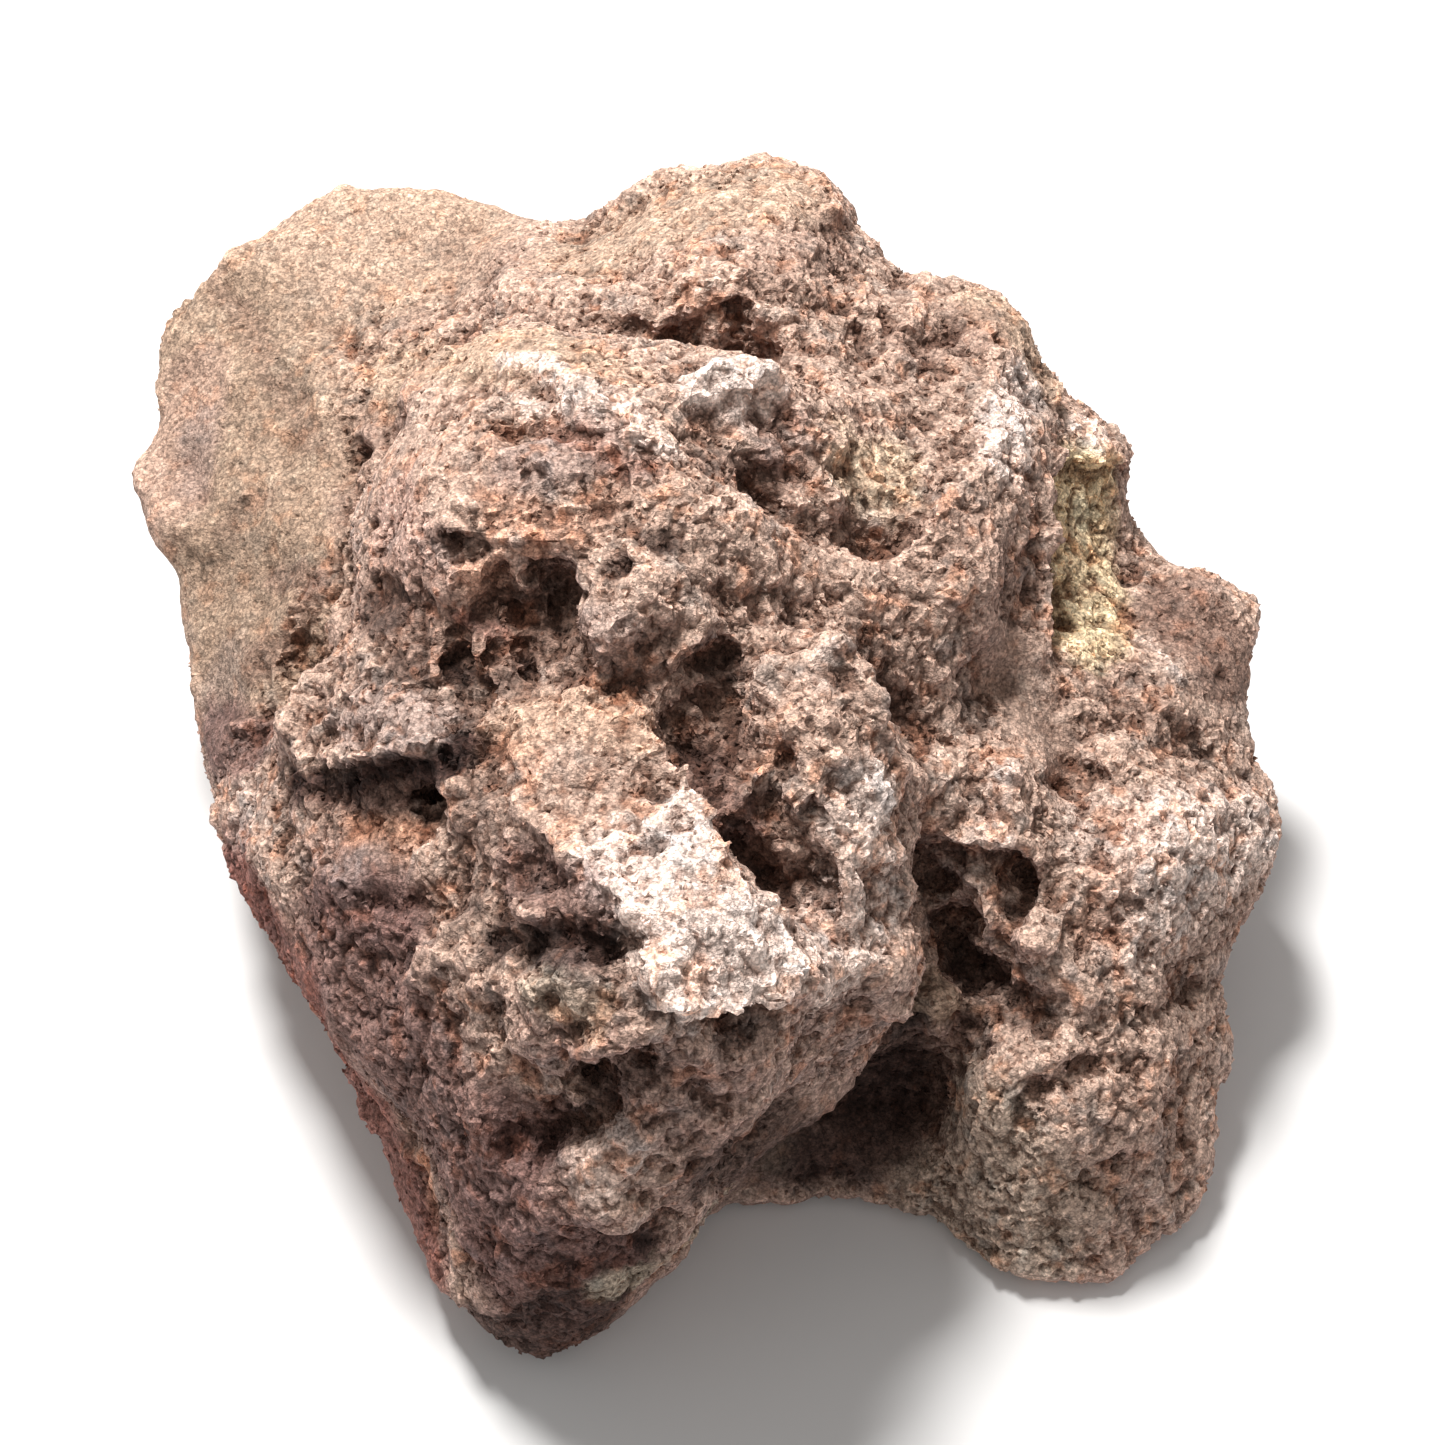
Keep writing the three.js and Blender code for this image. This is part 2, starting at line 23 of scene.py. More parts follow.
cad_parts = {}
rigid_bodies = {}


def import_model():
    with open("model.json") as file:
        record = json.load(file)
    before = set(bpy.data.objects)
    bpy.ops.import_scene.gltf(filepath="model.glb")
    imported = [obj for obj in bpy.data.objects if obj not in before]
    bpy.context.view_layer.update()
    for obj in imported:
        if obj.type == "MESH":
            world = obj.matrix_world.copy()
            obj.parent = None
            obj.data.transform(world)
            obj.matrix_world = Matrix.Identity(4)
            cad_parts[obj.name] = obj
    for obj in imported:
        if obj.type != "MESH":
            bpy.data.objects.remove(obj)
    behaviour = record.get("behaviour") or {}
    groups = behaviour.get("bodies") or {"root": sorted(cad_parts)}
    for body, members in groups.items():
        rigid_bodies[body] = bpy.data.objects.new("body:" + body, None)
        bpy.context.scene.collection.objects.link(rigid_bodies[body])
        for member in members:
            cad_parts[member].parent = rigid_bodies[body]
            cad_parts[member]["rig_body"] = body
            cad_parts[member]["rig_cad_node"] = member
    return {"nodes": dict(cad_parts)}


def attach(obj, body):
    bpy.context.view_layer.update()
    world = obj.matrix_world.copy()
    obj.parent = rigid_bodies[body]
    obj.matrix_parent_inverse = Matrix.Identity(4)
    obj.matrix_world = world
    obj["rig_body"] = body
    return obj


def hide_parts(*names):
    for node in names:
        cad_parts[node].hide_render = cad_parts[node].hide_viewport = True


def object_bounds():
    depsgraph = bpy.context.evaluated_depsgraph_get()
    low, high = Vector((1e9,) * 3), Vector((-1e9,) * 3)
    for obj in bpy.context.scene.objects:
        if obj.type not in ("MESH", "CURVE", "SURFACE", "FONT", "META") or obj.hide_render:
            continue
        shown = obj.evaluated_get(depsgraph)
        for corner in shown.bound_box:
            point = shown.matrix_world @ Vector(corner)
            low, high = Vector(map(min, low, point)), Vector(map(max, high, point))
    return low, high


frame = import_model()
cad_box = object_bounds()
MM = 0.001
NOISE_SEED = 5

noise.seed_set(NOISE_SEED)  # without it Blender's noise takes its seed from the clock
low, high = (Vector(corner) for corner in cad_box)
print("rock, mm:", [round(side / MM) for side in high - low])

# %% [markdown]
# ## The broken face, and the camera
#
# The rock's rough, broken face looks forward and up. Every ledge and hollow of it is easiest to
# place in the plane of that face: so far right of its middle, and so far up it. The same three
# directions place the camera, because the face is what a buyer of such a rock is shown. Placing
# both from one set of named values keeps a stroke and its picture together.

# %% The face's directions
FACE_LEAN = math.radians(50)  # the face looks this far above level
RIGHT = Vector((1, 0, 0))
UP = Vector((0, math.sin(FACE_LEAN), math.cos(FACE_LEAN)))
OUT = Vector((0, -math.cos(FACE_LEAN), math.sin(FACE_LEAN)))
FACE_MIDDLE = Vector((3.85, -12.74, 49.93)) * MM
SIGHT_DISTANCE = 301 * MM
EYE = FACE_MIDDLE + OUT * SIGHT_DISTANCE
print("the face looks", round(math.degrees(FACE_LEAN)), "degrees above level")

# %% The camera
LENS = 60  # mm
SENSOR = 36  # mm
NEAREST = 10 * MM

camera = bpy.data.objects.new("camera", bpy.data.cameras.new("camera"))
bpy.context.scene.collection.objects.link(camera)
camera.location = EYE
camera.rotation_euler = (-OUT).to_track_quat("-Z", "Y").to_euler()
camera.data.lens = LENS
camera.data.sensor_width = SENSOR
camera.data.clip_start = NEAREST
bpy.context.scene.camera = camera
print("camera, mm:", [round(value / MM) for value in EYE])

# %% [markdown]
# ## Clay to sculpt
#
# The frame's rock is made of flat triangles a few millimetres wide. It is right for weighing and
# stacking, and too coarse to carve. A copy of it is welded together, then rebuilt by the voxel
# remesher, which lays one even net of small quads over any closed shape. An even net matters: a
# stroke looks the same wherever it falls.

# %% Small helpers for a mesh
VOXEL_ROUGH = 1.1 * MM
VOXEL_MIDDLE = 0.9 * MM
VOXEL_FINE = 0.62 * MM
SAME_POINT = 0.01 * MM  # corners closer than this are one corner


def only(piece):
    """Selects one object and makes it active, so that operators act on nothing else."""
    bpy.ops.object.select_all(action="DESELECT")
    piece.select_set(True)
    bpy.context.view_layer.objects.active = piece


def apply_step(piece, kind, **settings):
    """Adds a modifier, sets it up and applies it at once."""
    only(piece)
    step = piece.modifiers.new(kind.lower(), kind)
    for name, value in settings.items():
        setattr(step, name, value)
    bpy.ops.object.modifier_apply(modifier=step.name)


def read_points(piece, what="co"):
    """The place of each point of a piece, or another vector that it holds for each."""
    flat = np.empty(len(piece.data.vertices) * 3)
    piece.data.vertices.foreach_get(what, flat)
    return flat.reshape(-1, 3)


def write_points(piece, points):
    piece.data.vertices.foreach_set("co", points.ravel())
    piece.data.update()


def read_normals(piece):
    return read_points(piece, "normal")


def wander(points, size, seed):
    """A smooth random vector for each point, with bumps about `size` apart."""
    shift = Vector((seed * 7.3, seed * 3.1, seed * 5.7))
    return np.array([noise.noise_vector(Vector(p) / size + shift) for p in points])


# %% Copy, weld and remesh
cad_rock = frame["nodes"]["lava_rock"]
rock = cad_rock.copy()
rock.data = cad_rock.data.copy()
rock.name = "lava"
rock.parent = None
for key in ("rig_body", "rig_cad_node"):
    if key in rock:
        del rock[key]
bpy.context.scene.collection.objects.link(rock)
only(rock)
bpy.ops.object.mode_set(mode="EDIT")
bpy.ops.mesh.select_all(action="SELECT")
bpy.ops.mesh.remove_doubles(threshold=SAME_POINT)
bpy.ops.object.mode_set(mode="OBJECT")
apply_step(rock, "REMESH", mode="VOXEL", voxel_size=VOXEL_ROUGH)
apply_step(rock, "SMOOTH", factor=0.5, iterations=6)
print("clay:", len(rock.data.vertices), "points")

# %% [markdown]
# ## A sculpting brush
#
# A sculpting brush moves the points that lie near its path. By hand this is the Draw brush, and for
# a broken step the Clay Strips brush. Written down, a stroke is a width, a height and a path on the
# broken face. Three details keep it from looking stamped. Noise shifts the place that each point is
# measured from, and widens the stroke here and narrows it there, so no outline is a clean circle. A
# cave bores in and up under its own brow, so that it stays dark when the light comes from above.
# And a ledge raises one side of its path and sinks the other a little, which leaves the sharp edge
# that a curve never has.

# %% Kinds of stroke
TUCK = 0.9  # how far a wide cave leans up the face as it goes in
TUCK_WIDTH = 3.5  # mm, and a narrow one leans less, by its width over this
EDGE = 0.7  # mm, from the middle of a ledge to the foot of its step
LOWERED = 0.35  # how far the low side of a ledge sinks, to each millimetre that the high side rises
LOBED = 0.9  # how much noise widens and narrows a stroke along its way
THINNEST, THICKEST = 0.45, 1.9  # the least and the most that it does so
WAY_OUT = 1.6  # widths from its path, past which a stroke reaches no point
# Two noises shift a stroke's place: how far, with bumps how far apart, and with which seed. Both
# lengths are shares of how ragged the strokes are.
SWAY = [(0.7, 1.8, 1), (0.45, 0.8, 2)]


def mound(width, height, *path):
    """Raises a knob, or a ridge along a path."""
    return "draw", width, height, path


def hollow(width, depth, *path):
    """Sinks a pit, or a slit along a path."""
    return "draw", width, -depth, path


def cave(width, depth, *path):
    """Bores in and up, under a brow."""
    return "bore", width, -depth, path


def ledge(width, height, *path):
    """Raises what lies on the left of its path, and lowers what lies on the right."""
    return "step", width, height, path


def plane(width, share, *path):
    """Planes the surface down towards one flat facet, by a share of the way."""
    return "plane", width, share, path


# %% The brush
def on_rock(skin, right, up):
    """The point of the rock behind a place on its face, in millimetres from the face's middle.

    A place just off the rock's edge is drawn in towards the middle until it lands on the rock.
    """
    reach = 1.0
    while True:
        aim = FACE_MIDDLE + (RIGHT * right + UP * up) * reach * MM
        place = skin.ray_cast(EYE, (aim - EYE).normalized())[0]
        if place is not None:
            return np.array(place)
        reach -= 0.01


def distance_to_path(points, path):
    """The distance from each point to a line of one or more corners, and which side it is on.

    The side is a distance too: positive on the left of the path, as seen from outside the face.
    """
    if len(path) == 1:
        return np.linalg.norm(points - path[0], axis=1), np.zeros(len(points))
    nearest = np.full(len(points), np.inf)
    side = np.zeros(len(points))
    for start, end in zip(path, path[1:]):
        along = end - start
        part = np.clip((points - start) @ along / (along @ along), 0, 1)
        away = points - start - part[:, None] * along
        distance = np.linalg.norm(away, axis=1)
        leftward = np.cross(np.array(OUT), along / np.linalg.norm(along))
        side = np.where(distance < nearest, away @ leftward, side)
        nearest = np.minimum(nearest, distance)
    return nearest, side


def sculpt(piece, strokes, ragged, bite=1.0):
    """Moves the points of a piece along each stroke, with outlines as ragged as asked.

    `bite` is the share of its written depth that a cave is bored to.
    """
    points = read_points(piece)
    normals = read_normals(piece)
    asked = points.copy()
    for far, size, seed in SWAY:
        asked += far * ragged * wander(points, size * ragged, seed)
    lobes = wander(points, 2.2 * ragged, 3)[:, 0] + wander(points, ragged, 4)[:, 0]
    lobes = np.clip(1 + LOBED * lobes, THINNEST, THICKEST)
    skin = BVHTree.FromObject(piece, bpy.context.evaluated_depsgraph_get())
    moved = points.copy()
    for kind, width, height, path in strokes:
        spine = [on_rock(skin, right, up) for right, up in path]
        middle = np.mean(spine, axis=0)
        reach = max(np.linalg.norm(corner - middle) for corner in spine) + WAY_OUT * width * MM
        close = np.flatnonzero(np.linalg.norm(points - middle, axis=1) < reach)
        distance, side = distance_to_path(asked[close], spine)
        share = distance * lobes[close] / (width * MM)
        close, share, side = close[share < 1], share[share < 1], side[share < 1]
        if not len(close):
            continue
        bell = (1 - share ** 4) ** 2 if kind == "bore" else (1 - share ** 2) ** 2
        if kind == "draw" and len(path) > 1:
            bell = (1 - share) ** 1.5
        direction = (normals[close] * bell[:, None]).sum(axis=0)
        direction /= np.linalg.norm(direction)
        lift = height * MM * bell
        if kind == "bore":
            direction = direction - min(TUCK, width / TUCK_WIDTH) * np.array(UP)
            direction /= np.linalg.norm(direction)
            lift = lift * bite
        if kind == "step":
            lift = lift * np.clip(side / (EDGE * MM), -LOWERED, 1)
        if kind == "plane":
            centre = (points[close] * bell[:, None]).sum(axis=0) / bell.sum()
            lift = -height * np.clip(2 * bell, 0, 1) * ((points[close] - centre) @ direction)
        moved[close] += lift[:, None] * direction
    write_points(piece, moved)
    shift = np.linalg.norm(moved - points, axis=1)
    print(len(strokes), "strokes, deepest", round(shift.max() / MM, 1), "mm")


# %% [markdown]
# ## The big forms
#
# These strokes are the ones a sculptor would block in first: the seam where the plate dives under
# the crown, the ravine that splits the crown from the spur, the caves under the brows, and the
# hollow behind the spur. Each is written as its width, its height and its path of (right, up)
# places, all in millimetres.

# %% Forms of the plate, the smooth slab at the back left
PLATE_FORMS = [
    hollow(2.6, 2, (-44.8, 33)),
    hollow(3.2, 1.6, (-63.5, 55), (-59.5, 51), (-58.5, 46), (-53, 40)),
    hollow(4.5, 1.6, (-67, 33.5), (-64.5, 28)),
    hollow(4.0, 1.4, (-31, 62)),
    mound(3.2, 1.6, (-54, 13), (-60, 5)),
    mound(3.0, 1.6, (-71.5, 26), (-70, 23.5)),
    mound(2.4, 1.4, (-60.3, -2)),
    hollow(5.0, 1.4, (-40, 60), (-28, 56)),
    mound(6.0, 1.4, (-57, 31), (-53, 22)),
    hollow(3.0, 1.4, (-51, 51), (-44, 46)),
    mound(5.0, 1.2, (-50, 60)),
    hollow(2.6, 1.2, (-68, 45), (-61, 40)),
    hollow(2.2, 1.2, (-63, 16), (-56, 20)),
]
print("plate:", len(PLATE_FORMS), "strokes")

# %% Forms of the crown, the knobbly mass in the middle
CROWN_FORMS = [
    mound(2.4, 2, (-27, 46), (-20, 44), (-15, 41), (-10, 37), (-5, 33.5)),
    hollow(5.0, 2.4, (-24, 38), (-16, 36)),
    hollow(3.0, 1.4, (-27, 37)),
    hollow(3.6, 1.8, (-36, 23), (-30, 22)),
    hollow(5.0, 1.8, (-44, 15), (-38, 13)),
    hollow(3.0, 1.6, (-30, 17.5), (-25, 15.5), (-20, 16.5)),
    hollow(1.8, 1.4, (-20, 22), (-26, 19)),
    mound(7.0, 4.6, (-28, 12)),
    mound(7.0, 7.5, (-21.5, 17), (-25, 12)),
    mound(5.0, 5.5, (-31, 7.5)),
    mound(4.0, 2.4, (-32, 22)),
    cave(2.0, 1.6, (-34, 6.5), (-28, 5.5), (-24.5, 7)),
    hollow(2.4, 1.8, (-42, 8.5), (-37, 8), (-32, 8)),
    mound(6.0, 2.6, (-14.5, 11.5)),
    hollow(2.6, 2.2, (-12.5, 20.5)),
    hollow(2.8, 2.0, (-9, 22.5), (-5.5, 22)),
    mound(2.2, 1.4, (-10, 28.5), (-5, 30), (2, 25.5)),
    mound(2.4, 1.4, (-21.5, 6.5), (-17, 4)),
    cave(3.0, 1.6, (-2.5, 7.5), (1.5, 6.5)),
    mound(7.0, 7.5, (-4, 3), (-1.5, -2), (2, -9)),
    mound(1.8, 1.8, (-6.5, 6.5), (-4.5, 10), (-0.5, 12), (3, 11)),
    hollow(2.2, 1.6, (-3.5, 16.5), (0.5, 16.5)),
    mound(4.0, 1, (-34, 32), (-42, 30)),
]
print("crown:", len(CROWN_FORMS), "strokes")

# %% Forms of the mass behind the crown
BACK_FORMS = [
    hollow(2.2, 1.6, (-13, 50), (-8, 48.5), (-4, 48)),
    hollow(3.4, 2.2, (-1, 50.5), (5, 48)),
    hollow(2.8, 2.0, (3, 46.5), (8, 47.5)),
    hollow(1.8, 1.5, (3.5, 66)),
    hollow(1.7, 1.6, (6, 63.4)),
    hollow(1.5, 1, (-2, 64)),
    hollow(4.0, 1.8, (13.5, 59), (15, 52)),
    hollow(2.6, 2.4, (16, 49), (20, 50.5), (19.5, 47)),
    hollow(1.8, 1.8, (6.6, 45.6), (11.8, 42.5)),
    mound(3.4, 2.8, (-3, 42), (2.5, 42.5), (8, 40.5)),
    mound(6.0, 2.4, (2, 43)),
    hollow(3.0, 1.0, (4, 38.5), (9, 35.5)),
    mound(5.6, 8.0, (4, 30), (9, 28.5)),
    mound(3.6, 3.0, (4, 48.5), (8, 47.5)),
    hollow(4.0, 1.2, (-20, 57), (-10, 56)),
    mound(3.4, 1.2, (-10, 60), (0, 58)),
]
print("back:", len(BACK_FORMS), "strokes")

# %% Forms of the crest and the right lobe
RIGHT_FORMS = [
    hollow(4.4, 2.6, (24, 48), (31, 50)),
    hollow(2.2, 2.0, (30, 47), (25, 42)),
    hollow(2.2, 2.0, (23, 38.5), (27, 38)),
    hollow(2.2, 2.0, (27, 34), (31.5, 34)),
    hollow(1.9, 2.2, (32, 34.5), (28, 30), (21, 22)),
    hollow(2.4, 1.8, (16, 23), (18, 22)),
    hollow(2.0, 1.6, (37.5, 40)),
    mound(3.0, 1, (14, 29), (20, 30)),
    cave(2.2, 1.8, (43, 30.5), (49, 30)),
    hollow(2.0, 1.6, (46.5, 24)),
    hollow(1.7, 1.8, (41.5, 27.5)),
    cave(3.0, 2.4, (41.8, 16), (42, 12)),
    hollow(2.0, 1.4, (47.5, 13)),
    hollow(2.2, 1.6, (40.5, 2.8), (43, 3)),
    cave(2.2, 1.8, (43.5, -5.5), (46.5, -7)),
    hollow(2.2, 1.4, (41.5, -7.8), (45, -8)),
    hollow(1.8, 1.4, (52, 6), (55.5, 5.5)),
    mound(2.2, 1.3, (52, 3.5), (58, 1.5), (62, -1)),
    hollow(2.0, 1.4, (56, -1.5), (61, -3.5)),
    hollow(4.0, 1.6, (61, 13)),
    hollow(1.8, 1.6, (44.5, -16.5), (47.5, -17)),
    hollow(1.4, 1.6, (32, -5), (31, -11), (28.5, -14)),
    mound(3.2, 1.6, (36, -6)),
    mound(3.4, 1.6, (34, -15)),
    mound(3.0, 1.4, (27, -4), (26, -8)),
    mound(8.0, 7.5, (33.5, -17), (37, -22), (39, -27)),
    mound(5.0, 5.0, (34, -18), (37, -23)),
    hollow(3.2, 3.6, (24.8, -16), (26.5, -22), (29.5, -28.5)),
    cave(3.2, 3.0, (29, -29), (34, -33.5), (40, -38)),
    hollow(2.4, 1.8, (51.5, -23.5), (49, -26)),
    mound(4.0, 2.2, (25, -34), (29.5, -35)),
    hollow(2.4, 2.6, (32, -33), (31, -38)),
    cave(2.4, 2.2, (41, -46), (45.5, -43), (50.5, -44)),
    hollow(2.4, 1.6, (38.5, -50.5)),
    hollow(2.6, 2.0, (58, -34)),
    hollow(2.2, 1.8, (45.5, -58), (52, -55.5)),
    hollow(2.2, 1.4, (56, -48), (57, -52)),
]
print("right:", len(RIGHT_FORMS), "strokes")

# %% Forms of the spur that points down
SPUR_FORMS = [
    mound(1.7, 1.2, (-26, 1), (-22, 3), (-16, 3), (-11.5, 3.5), (-8, 0.5)),
    mound(2.0, 1.6, (-7.5, -2.5), (-6.5, -7), (-4, -11.5), (-1, -16.5)),
    mound(2.0, 1.2, (2, -19.5), (5, -22), (8, -25), (11, -26.5), (11.5, -31)),
    hollow(2.2, 2.2, (-6.5, -4.5), (-2.5, -4)),
    hollow(1.9, 1.6, (3, -11), (8, -17), (12, -25), (13, -31)),
    hollow(1.2, 1.6, (-13.4, -0.9)),
    hollow(1.6, 1.4, (-8.3, -8.5)),
    hollow(1.7, 1.6, (-8.6, -14.8)),
    hollow(2.0, 1.8, (-17, -16.5), (-14, -18)),
    hollow(6.0, 2.2, (-23, -19), (-19, -25)),
    cave(3.4, 3.0, (-27, -28), (-20, -28), (-14.5, -28.5)),
    mound(2.4, 1.6, (-24.5, -23.5)),
    mound(2.8, 1.8, (-23.5, -33), (-18, -33.5)),
    mound(2.2, 1.5, (-10, -31), (-7, -35), (-3, -35), (4, -35), (7.5, -33)),
    cave(2.4, 2.2, (-1, -38), (6, -38)),
    hollow(2.0, 1.8, (-9, -37.5), (-3, -39)),
    hollow(1.3, 1.6, (-15.9, -34.5)),
    hollow(1.5, 1.5, (-18, -38.6)),
    hollow(2.2, 2.4, (-28.6, -34.5), (-28.3, -39)),
    cave(2.6, 2.8, (-17, -44.5), (-13.4, -44), (-9.6, -42.4)),
    mound(3.0, 1.8, (-19.8, -46.5)),
    cave(2.2, 2.2, (-18, -50.5), (-13.4, -48.6)),
    hollow(3.0, 2.2, (-23, -52)),
    mound(1.7, 1.6, (-23.6, -53)),
    mound(5.5, 2, (-15, -57)),
    hollow(2.2, 2.2, (-8, -56), (-6, -50)),
    hollow(2.8, 2.4, (-9, -60)),
    hollow(3.0, 2.0, (-15, -64.5)),
    hollow(2.4, 1.8, (-6, -46), (2, -48)),
    hollow(2.4, 2.6, (-29, -14), (-32.5, -18), (-33, -24)),
    mound(4.0, 1.6, (-31.5, -10.5)),
    hollow(2.2, 1.6, (-29, -7.6), (-26, -7)),
]
print("spur:", len(SPUR_FORMS), "strokes")

# %% Forms of the ridge beside the spur
MIDDLE_FORMS = [
    mound(1.8, 1.3, (15, 9.5), (16.5, 7), (20, 1), (23, -4)),
    mound(1.8, 1, (7, 6), (12, 9.5)),
    hollow(3.0, 2.4, (18, 9), (20.5, 4), (22, 0.5)),
    hollow(1.5, 1.6, (13.6, -0.9)),
    hollow(2.2, 1.8, (5, -6.5), (9, -3.5)),
    hollow(1.8, 1.4, (15, -8), (18, -9.5)),
    mound(2.4, 1.2, (20, -6)),
    mound(2.4, 1.6, (4, -7.5)),
    hollow(2.4, 2.0, (10, -17), (14, -23), (16, -28)),
    mound(3.0, 1.4, (20, -13), (21, -19)),
    mound(3.0, 1.2, (17, -29)),
    hollow(2.4, 1.6, (16.5, -36)),
    mound(6.0, 6.0, (3, -13), (9, -18)),
]
print("middle:", len(MIDDLE_FORMS), "strokes")

# %% Forms of the left block and the flank
LEFT_FORMS = [
    hollow(1.3, 1.6, (-49, -1), (-43.5, -1.6), (-40, -1.3)),
    hollow(1.8, 1.2, (-44, 5.2)),
    mound(5.5, 4.8, (-36, -8), (-32, -6)),
    hollow(2.2, 1.4, (-53, -8), (-46, -8.2), (-39, -6), (-33, -4)),
    mound(1.8, 1.2, (-50, -5.5), (-44, -5), (-40, -4.8), (-34, -3), (-29.5, -1.5)),
    hollow(2.0, 1.4, (-46.5, -11.5), (-38, -12)),
    mound(3.6, 1.2, (-47, -18.5)),
    hollow(2.6, 2.4, (-48, -23), (-43, -22.5)),
    mound(4.6, 2, (-37.3, -18.5)),
    hollow(2.4, 2.2, (-40, -24.5), (-35, -24)),
    hollow(3.0, 2.8, (-39.8, -28), (-40.5, -31)),
    hollow(1.7, 2, (-55.9, -7.5), (-55.4, -13), (-55.4, -17.3)),
    hollow(2.4, 2.2, (-34, -36), (-35, -41)),
    mound(2.0, 1.1, (-50.5, -17), (-48.5, -29), (-49, -37), (-43, -47), (-39, -55)),
    hollow(1.7, 1.4, (-33, -51), (-31, -57)),
    mound(2.4, 0.9, (-36, -57), (-34.5, -62)),
    hollow(2.2, 1.2, (-29, -44), (-30, -50)),
    hollow(2.0, 1.2, (-27, -60), (-24, -68)),
]
print("left:", len(LEFT_FORMS), "strokes")

# %% [markdown]
# ## Edges between the masses
#
# Where one mass stands in front of another, the eye expects a crisp step, bright on its upper side
# and dark under it. Mounds and hollows alone leave soft hills there. So a ledge follows each of
# these edges, with the nearer mass on the left of its path.

# %% Strokes for the edges
EDGES = [
    ledge(5.0, 3.2, (40.4, 9), (40.6, 20), (41, 30), (41.5, 41)),
    ledge(4.5, 2.8, (-44.5, 33), (-46.5, 22), (-48.5, 13), (-52.5, 4), (-55.5, -3)),
    ledge(4.0, 2.2, (-28.5, 50), (-35, 46.5), (-40, 42), (-45, 36)),
    ledge(3.2, 2.4, (-5, 32.5), (-10, 36.5), (-15, 40.5), (-20, 43.5), (-27, 45.5)),
    ledge(4.5, 3.0, (24, -8), (21.5, -1), (20, 3), (16.5, 8), (15, 10.4)),
    ledge(3.4, 2.6, (14.5, 10.6), (10, 11.4), (5.5, 9), (3.6, 3), (2.6, -4)),
    ledge(4.8, 2.8, (12, -33), (9.5, -27), (4, -21), (-1, -14.4), (-4, -10), (-7.4, -2)),
    ledge(3.6, 2.0, (-7.6, -1.6), (-9.5, 2.6), (-15, 4), (-22, 3.6), (-27, 1)),
    ledge(3.4, 2.0, (-27.5, -2), (-26.5, -11), (-21, -17), (-14, -21), (-12, -29)),
    ledge(3.8, 2.8, (-12, -31), (-7, -35.6), (0, -36.4), (6, -36), (11, -34)),
    ledge(3.6, 2.6, (-53, -5.6), (-44, -5.8), (-36, -4.2), (-30, -2.6), (-28, 0)),
    ledge(3.4, 2.2, (-26, -41.4), (-20, -41.4), (-15, -41.8), (-9, -40)),
    ledge(3.4, 2.6, (-47.5, 8), (-41, 6), (-34, 4.6), (-27.5, 4.4), (-22.5, 8), (-20, 13)),
    ledge(2.6, 1.8, (-40, 21), (-35, 23.5), (-29, 22), (-23, 21.5)),
    ledge(3.0, 2.0, (26, -30), (24.6, -25), (23.4, -20), (21.5, -15)),
    ledge(3.4, 2.6, (27.5, -15), (29, -21), (32, -27), (37, -32), (43, -36)),
    ledge(2.6, 2.0, (33, -37), (31, -33.6), (26, -32.6), (21, -35)),
    ledge(2.6, 2.2, (21, -37), (24.5, -38.6), (28.5, -38.4)),
    ledge(3.2, 2.0, (32, 35), (28, 30), (25, 26), (21, 22)),
    ledge(3.4, 2.4, (23.5, 56), (22.3, 52), (21.3, 47.5)),
    ledge(3.6, 2.0, (12, 54), (13, 58), (15.5, 64)),
    ledge(3.2, 2.2, (-14, 50.6), (-8, 49.6), (-2, 50.5), (5, 51.5), (9, 50)),
    ledge(3.0, 2.0, (-4, 39.6), (2, 39.6), (8, 38.6), (11, 35)),
    mound(4.5, 1.8, (46, 36.5)),
    ledge(3.2, 2.4, (41.5, 31.2), (46, 31.4), (50.5, 32.2)),
    ledge(3.2, 2.0, (56.5, 17.5), (59, 14.5), (60.5, 10.5)),
    ledge(3.6, 2.2, (-29, -14), (-32, -18), (-33, -24), (-39, -28), (-40, -33)),
    ledge(3.0, 2.0, (42, -43), (48, -42.4), (54, -42)),
    ledge(2.8, 1.8, (40, -5.6), (44, -5), (48, -5.6)),
    ledge(2.6, 1.8, (-50, -21), (-44, -20.6), (-39, -21.6)),
]
print("edges:", len(EDGES), "strokes")

# %% Carve the big forms
RAGGED_FORMS = 2.0 * MM
FORMS = (PLATE_FORMS + CROWN_FORMS + BACK_FORMS + RIGHT_FORMS + SPUR_FORMS + MIDDLE_FORMS
         + LEFT_FORMS)

sculpt(rock, FORMS + EDGES, ragged=RAGGED_FORMS)
apply_step(rock, "REMESH", mode="VOXEL", voxel_size=VOXEL_MIDDLE)
print("after carving:", len(rock.data.vertices), "points")

# %% [markdown]
# ## The broken skin
#
# Frozen froth breaks along small flat facets, at every size at once: some as wide as a thumbnail,
# some as small as a lentil, with short clefts and burst bubbles between them. Geometry Nodes can
# grow all of it. Each pattern reads one Voronoi texture in its own way: a facet is a cell with a
# tilted top, a cleft is the gap between two cells, and a pit is the middle of a cell. Noise bends
# the place that a texture is read at, so that no cell looks like one. Each point then moves along
# its normal by the sum of the layers. The broad facets come first, then a second set of strokes
# for the small ledges and holes, and the narrow facets last, so that no stroke smears them. Some
# places are calmer than others: dust has settled on the plate and filled its grain. That is an
# attribute, brushed on as a stroke.

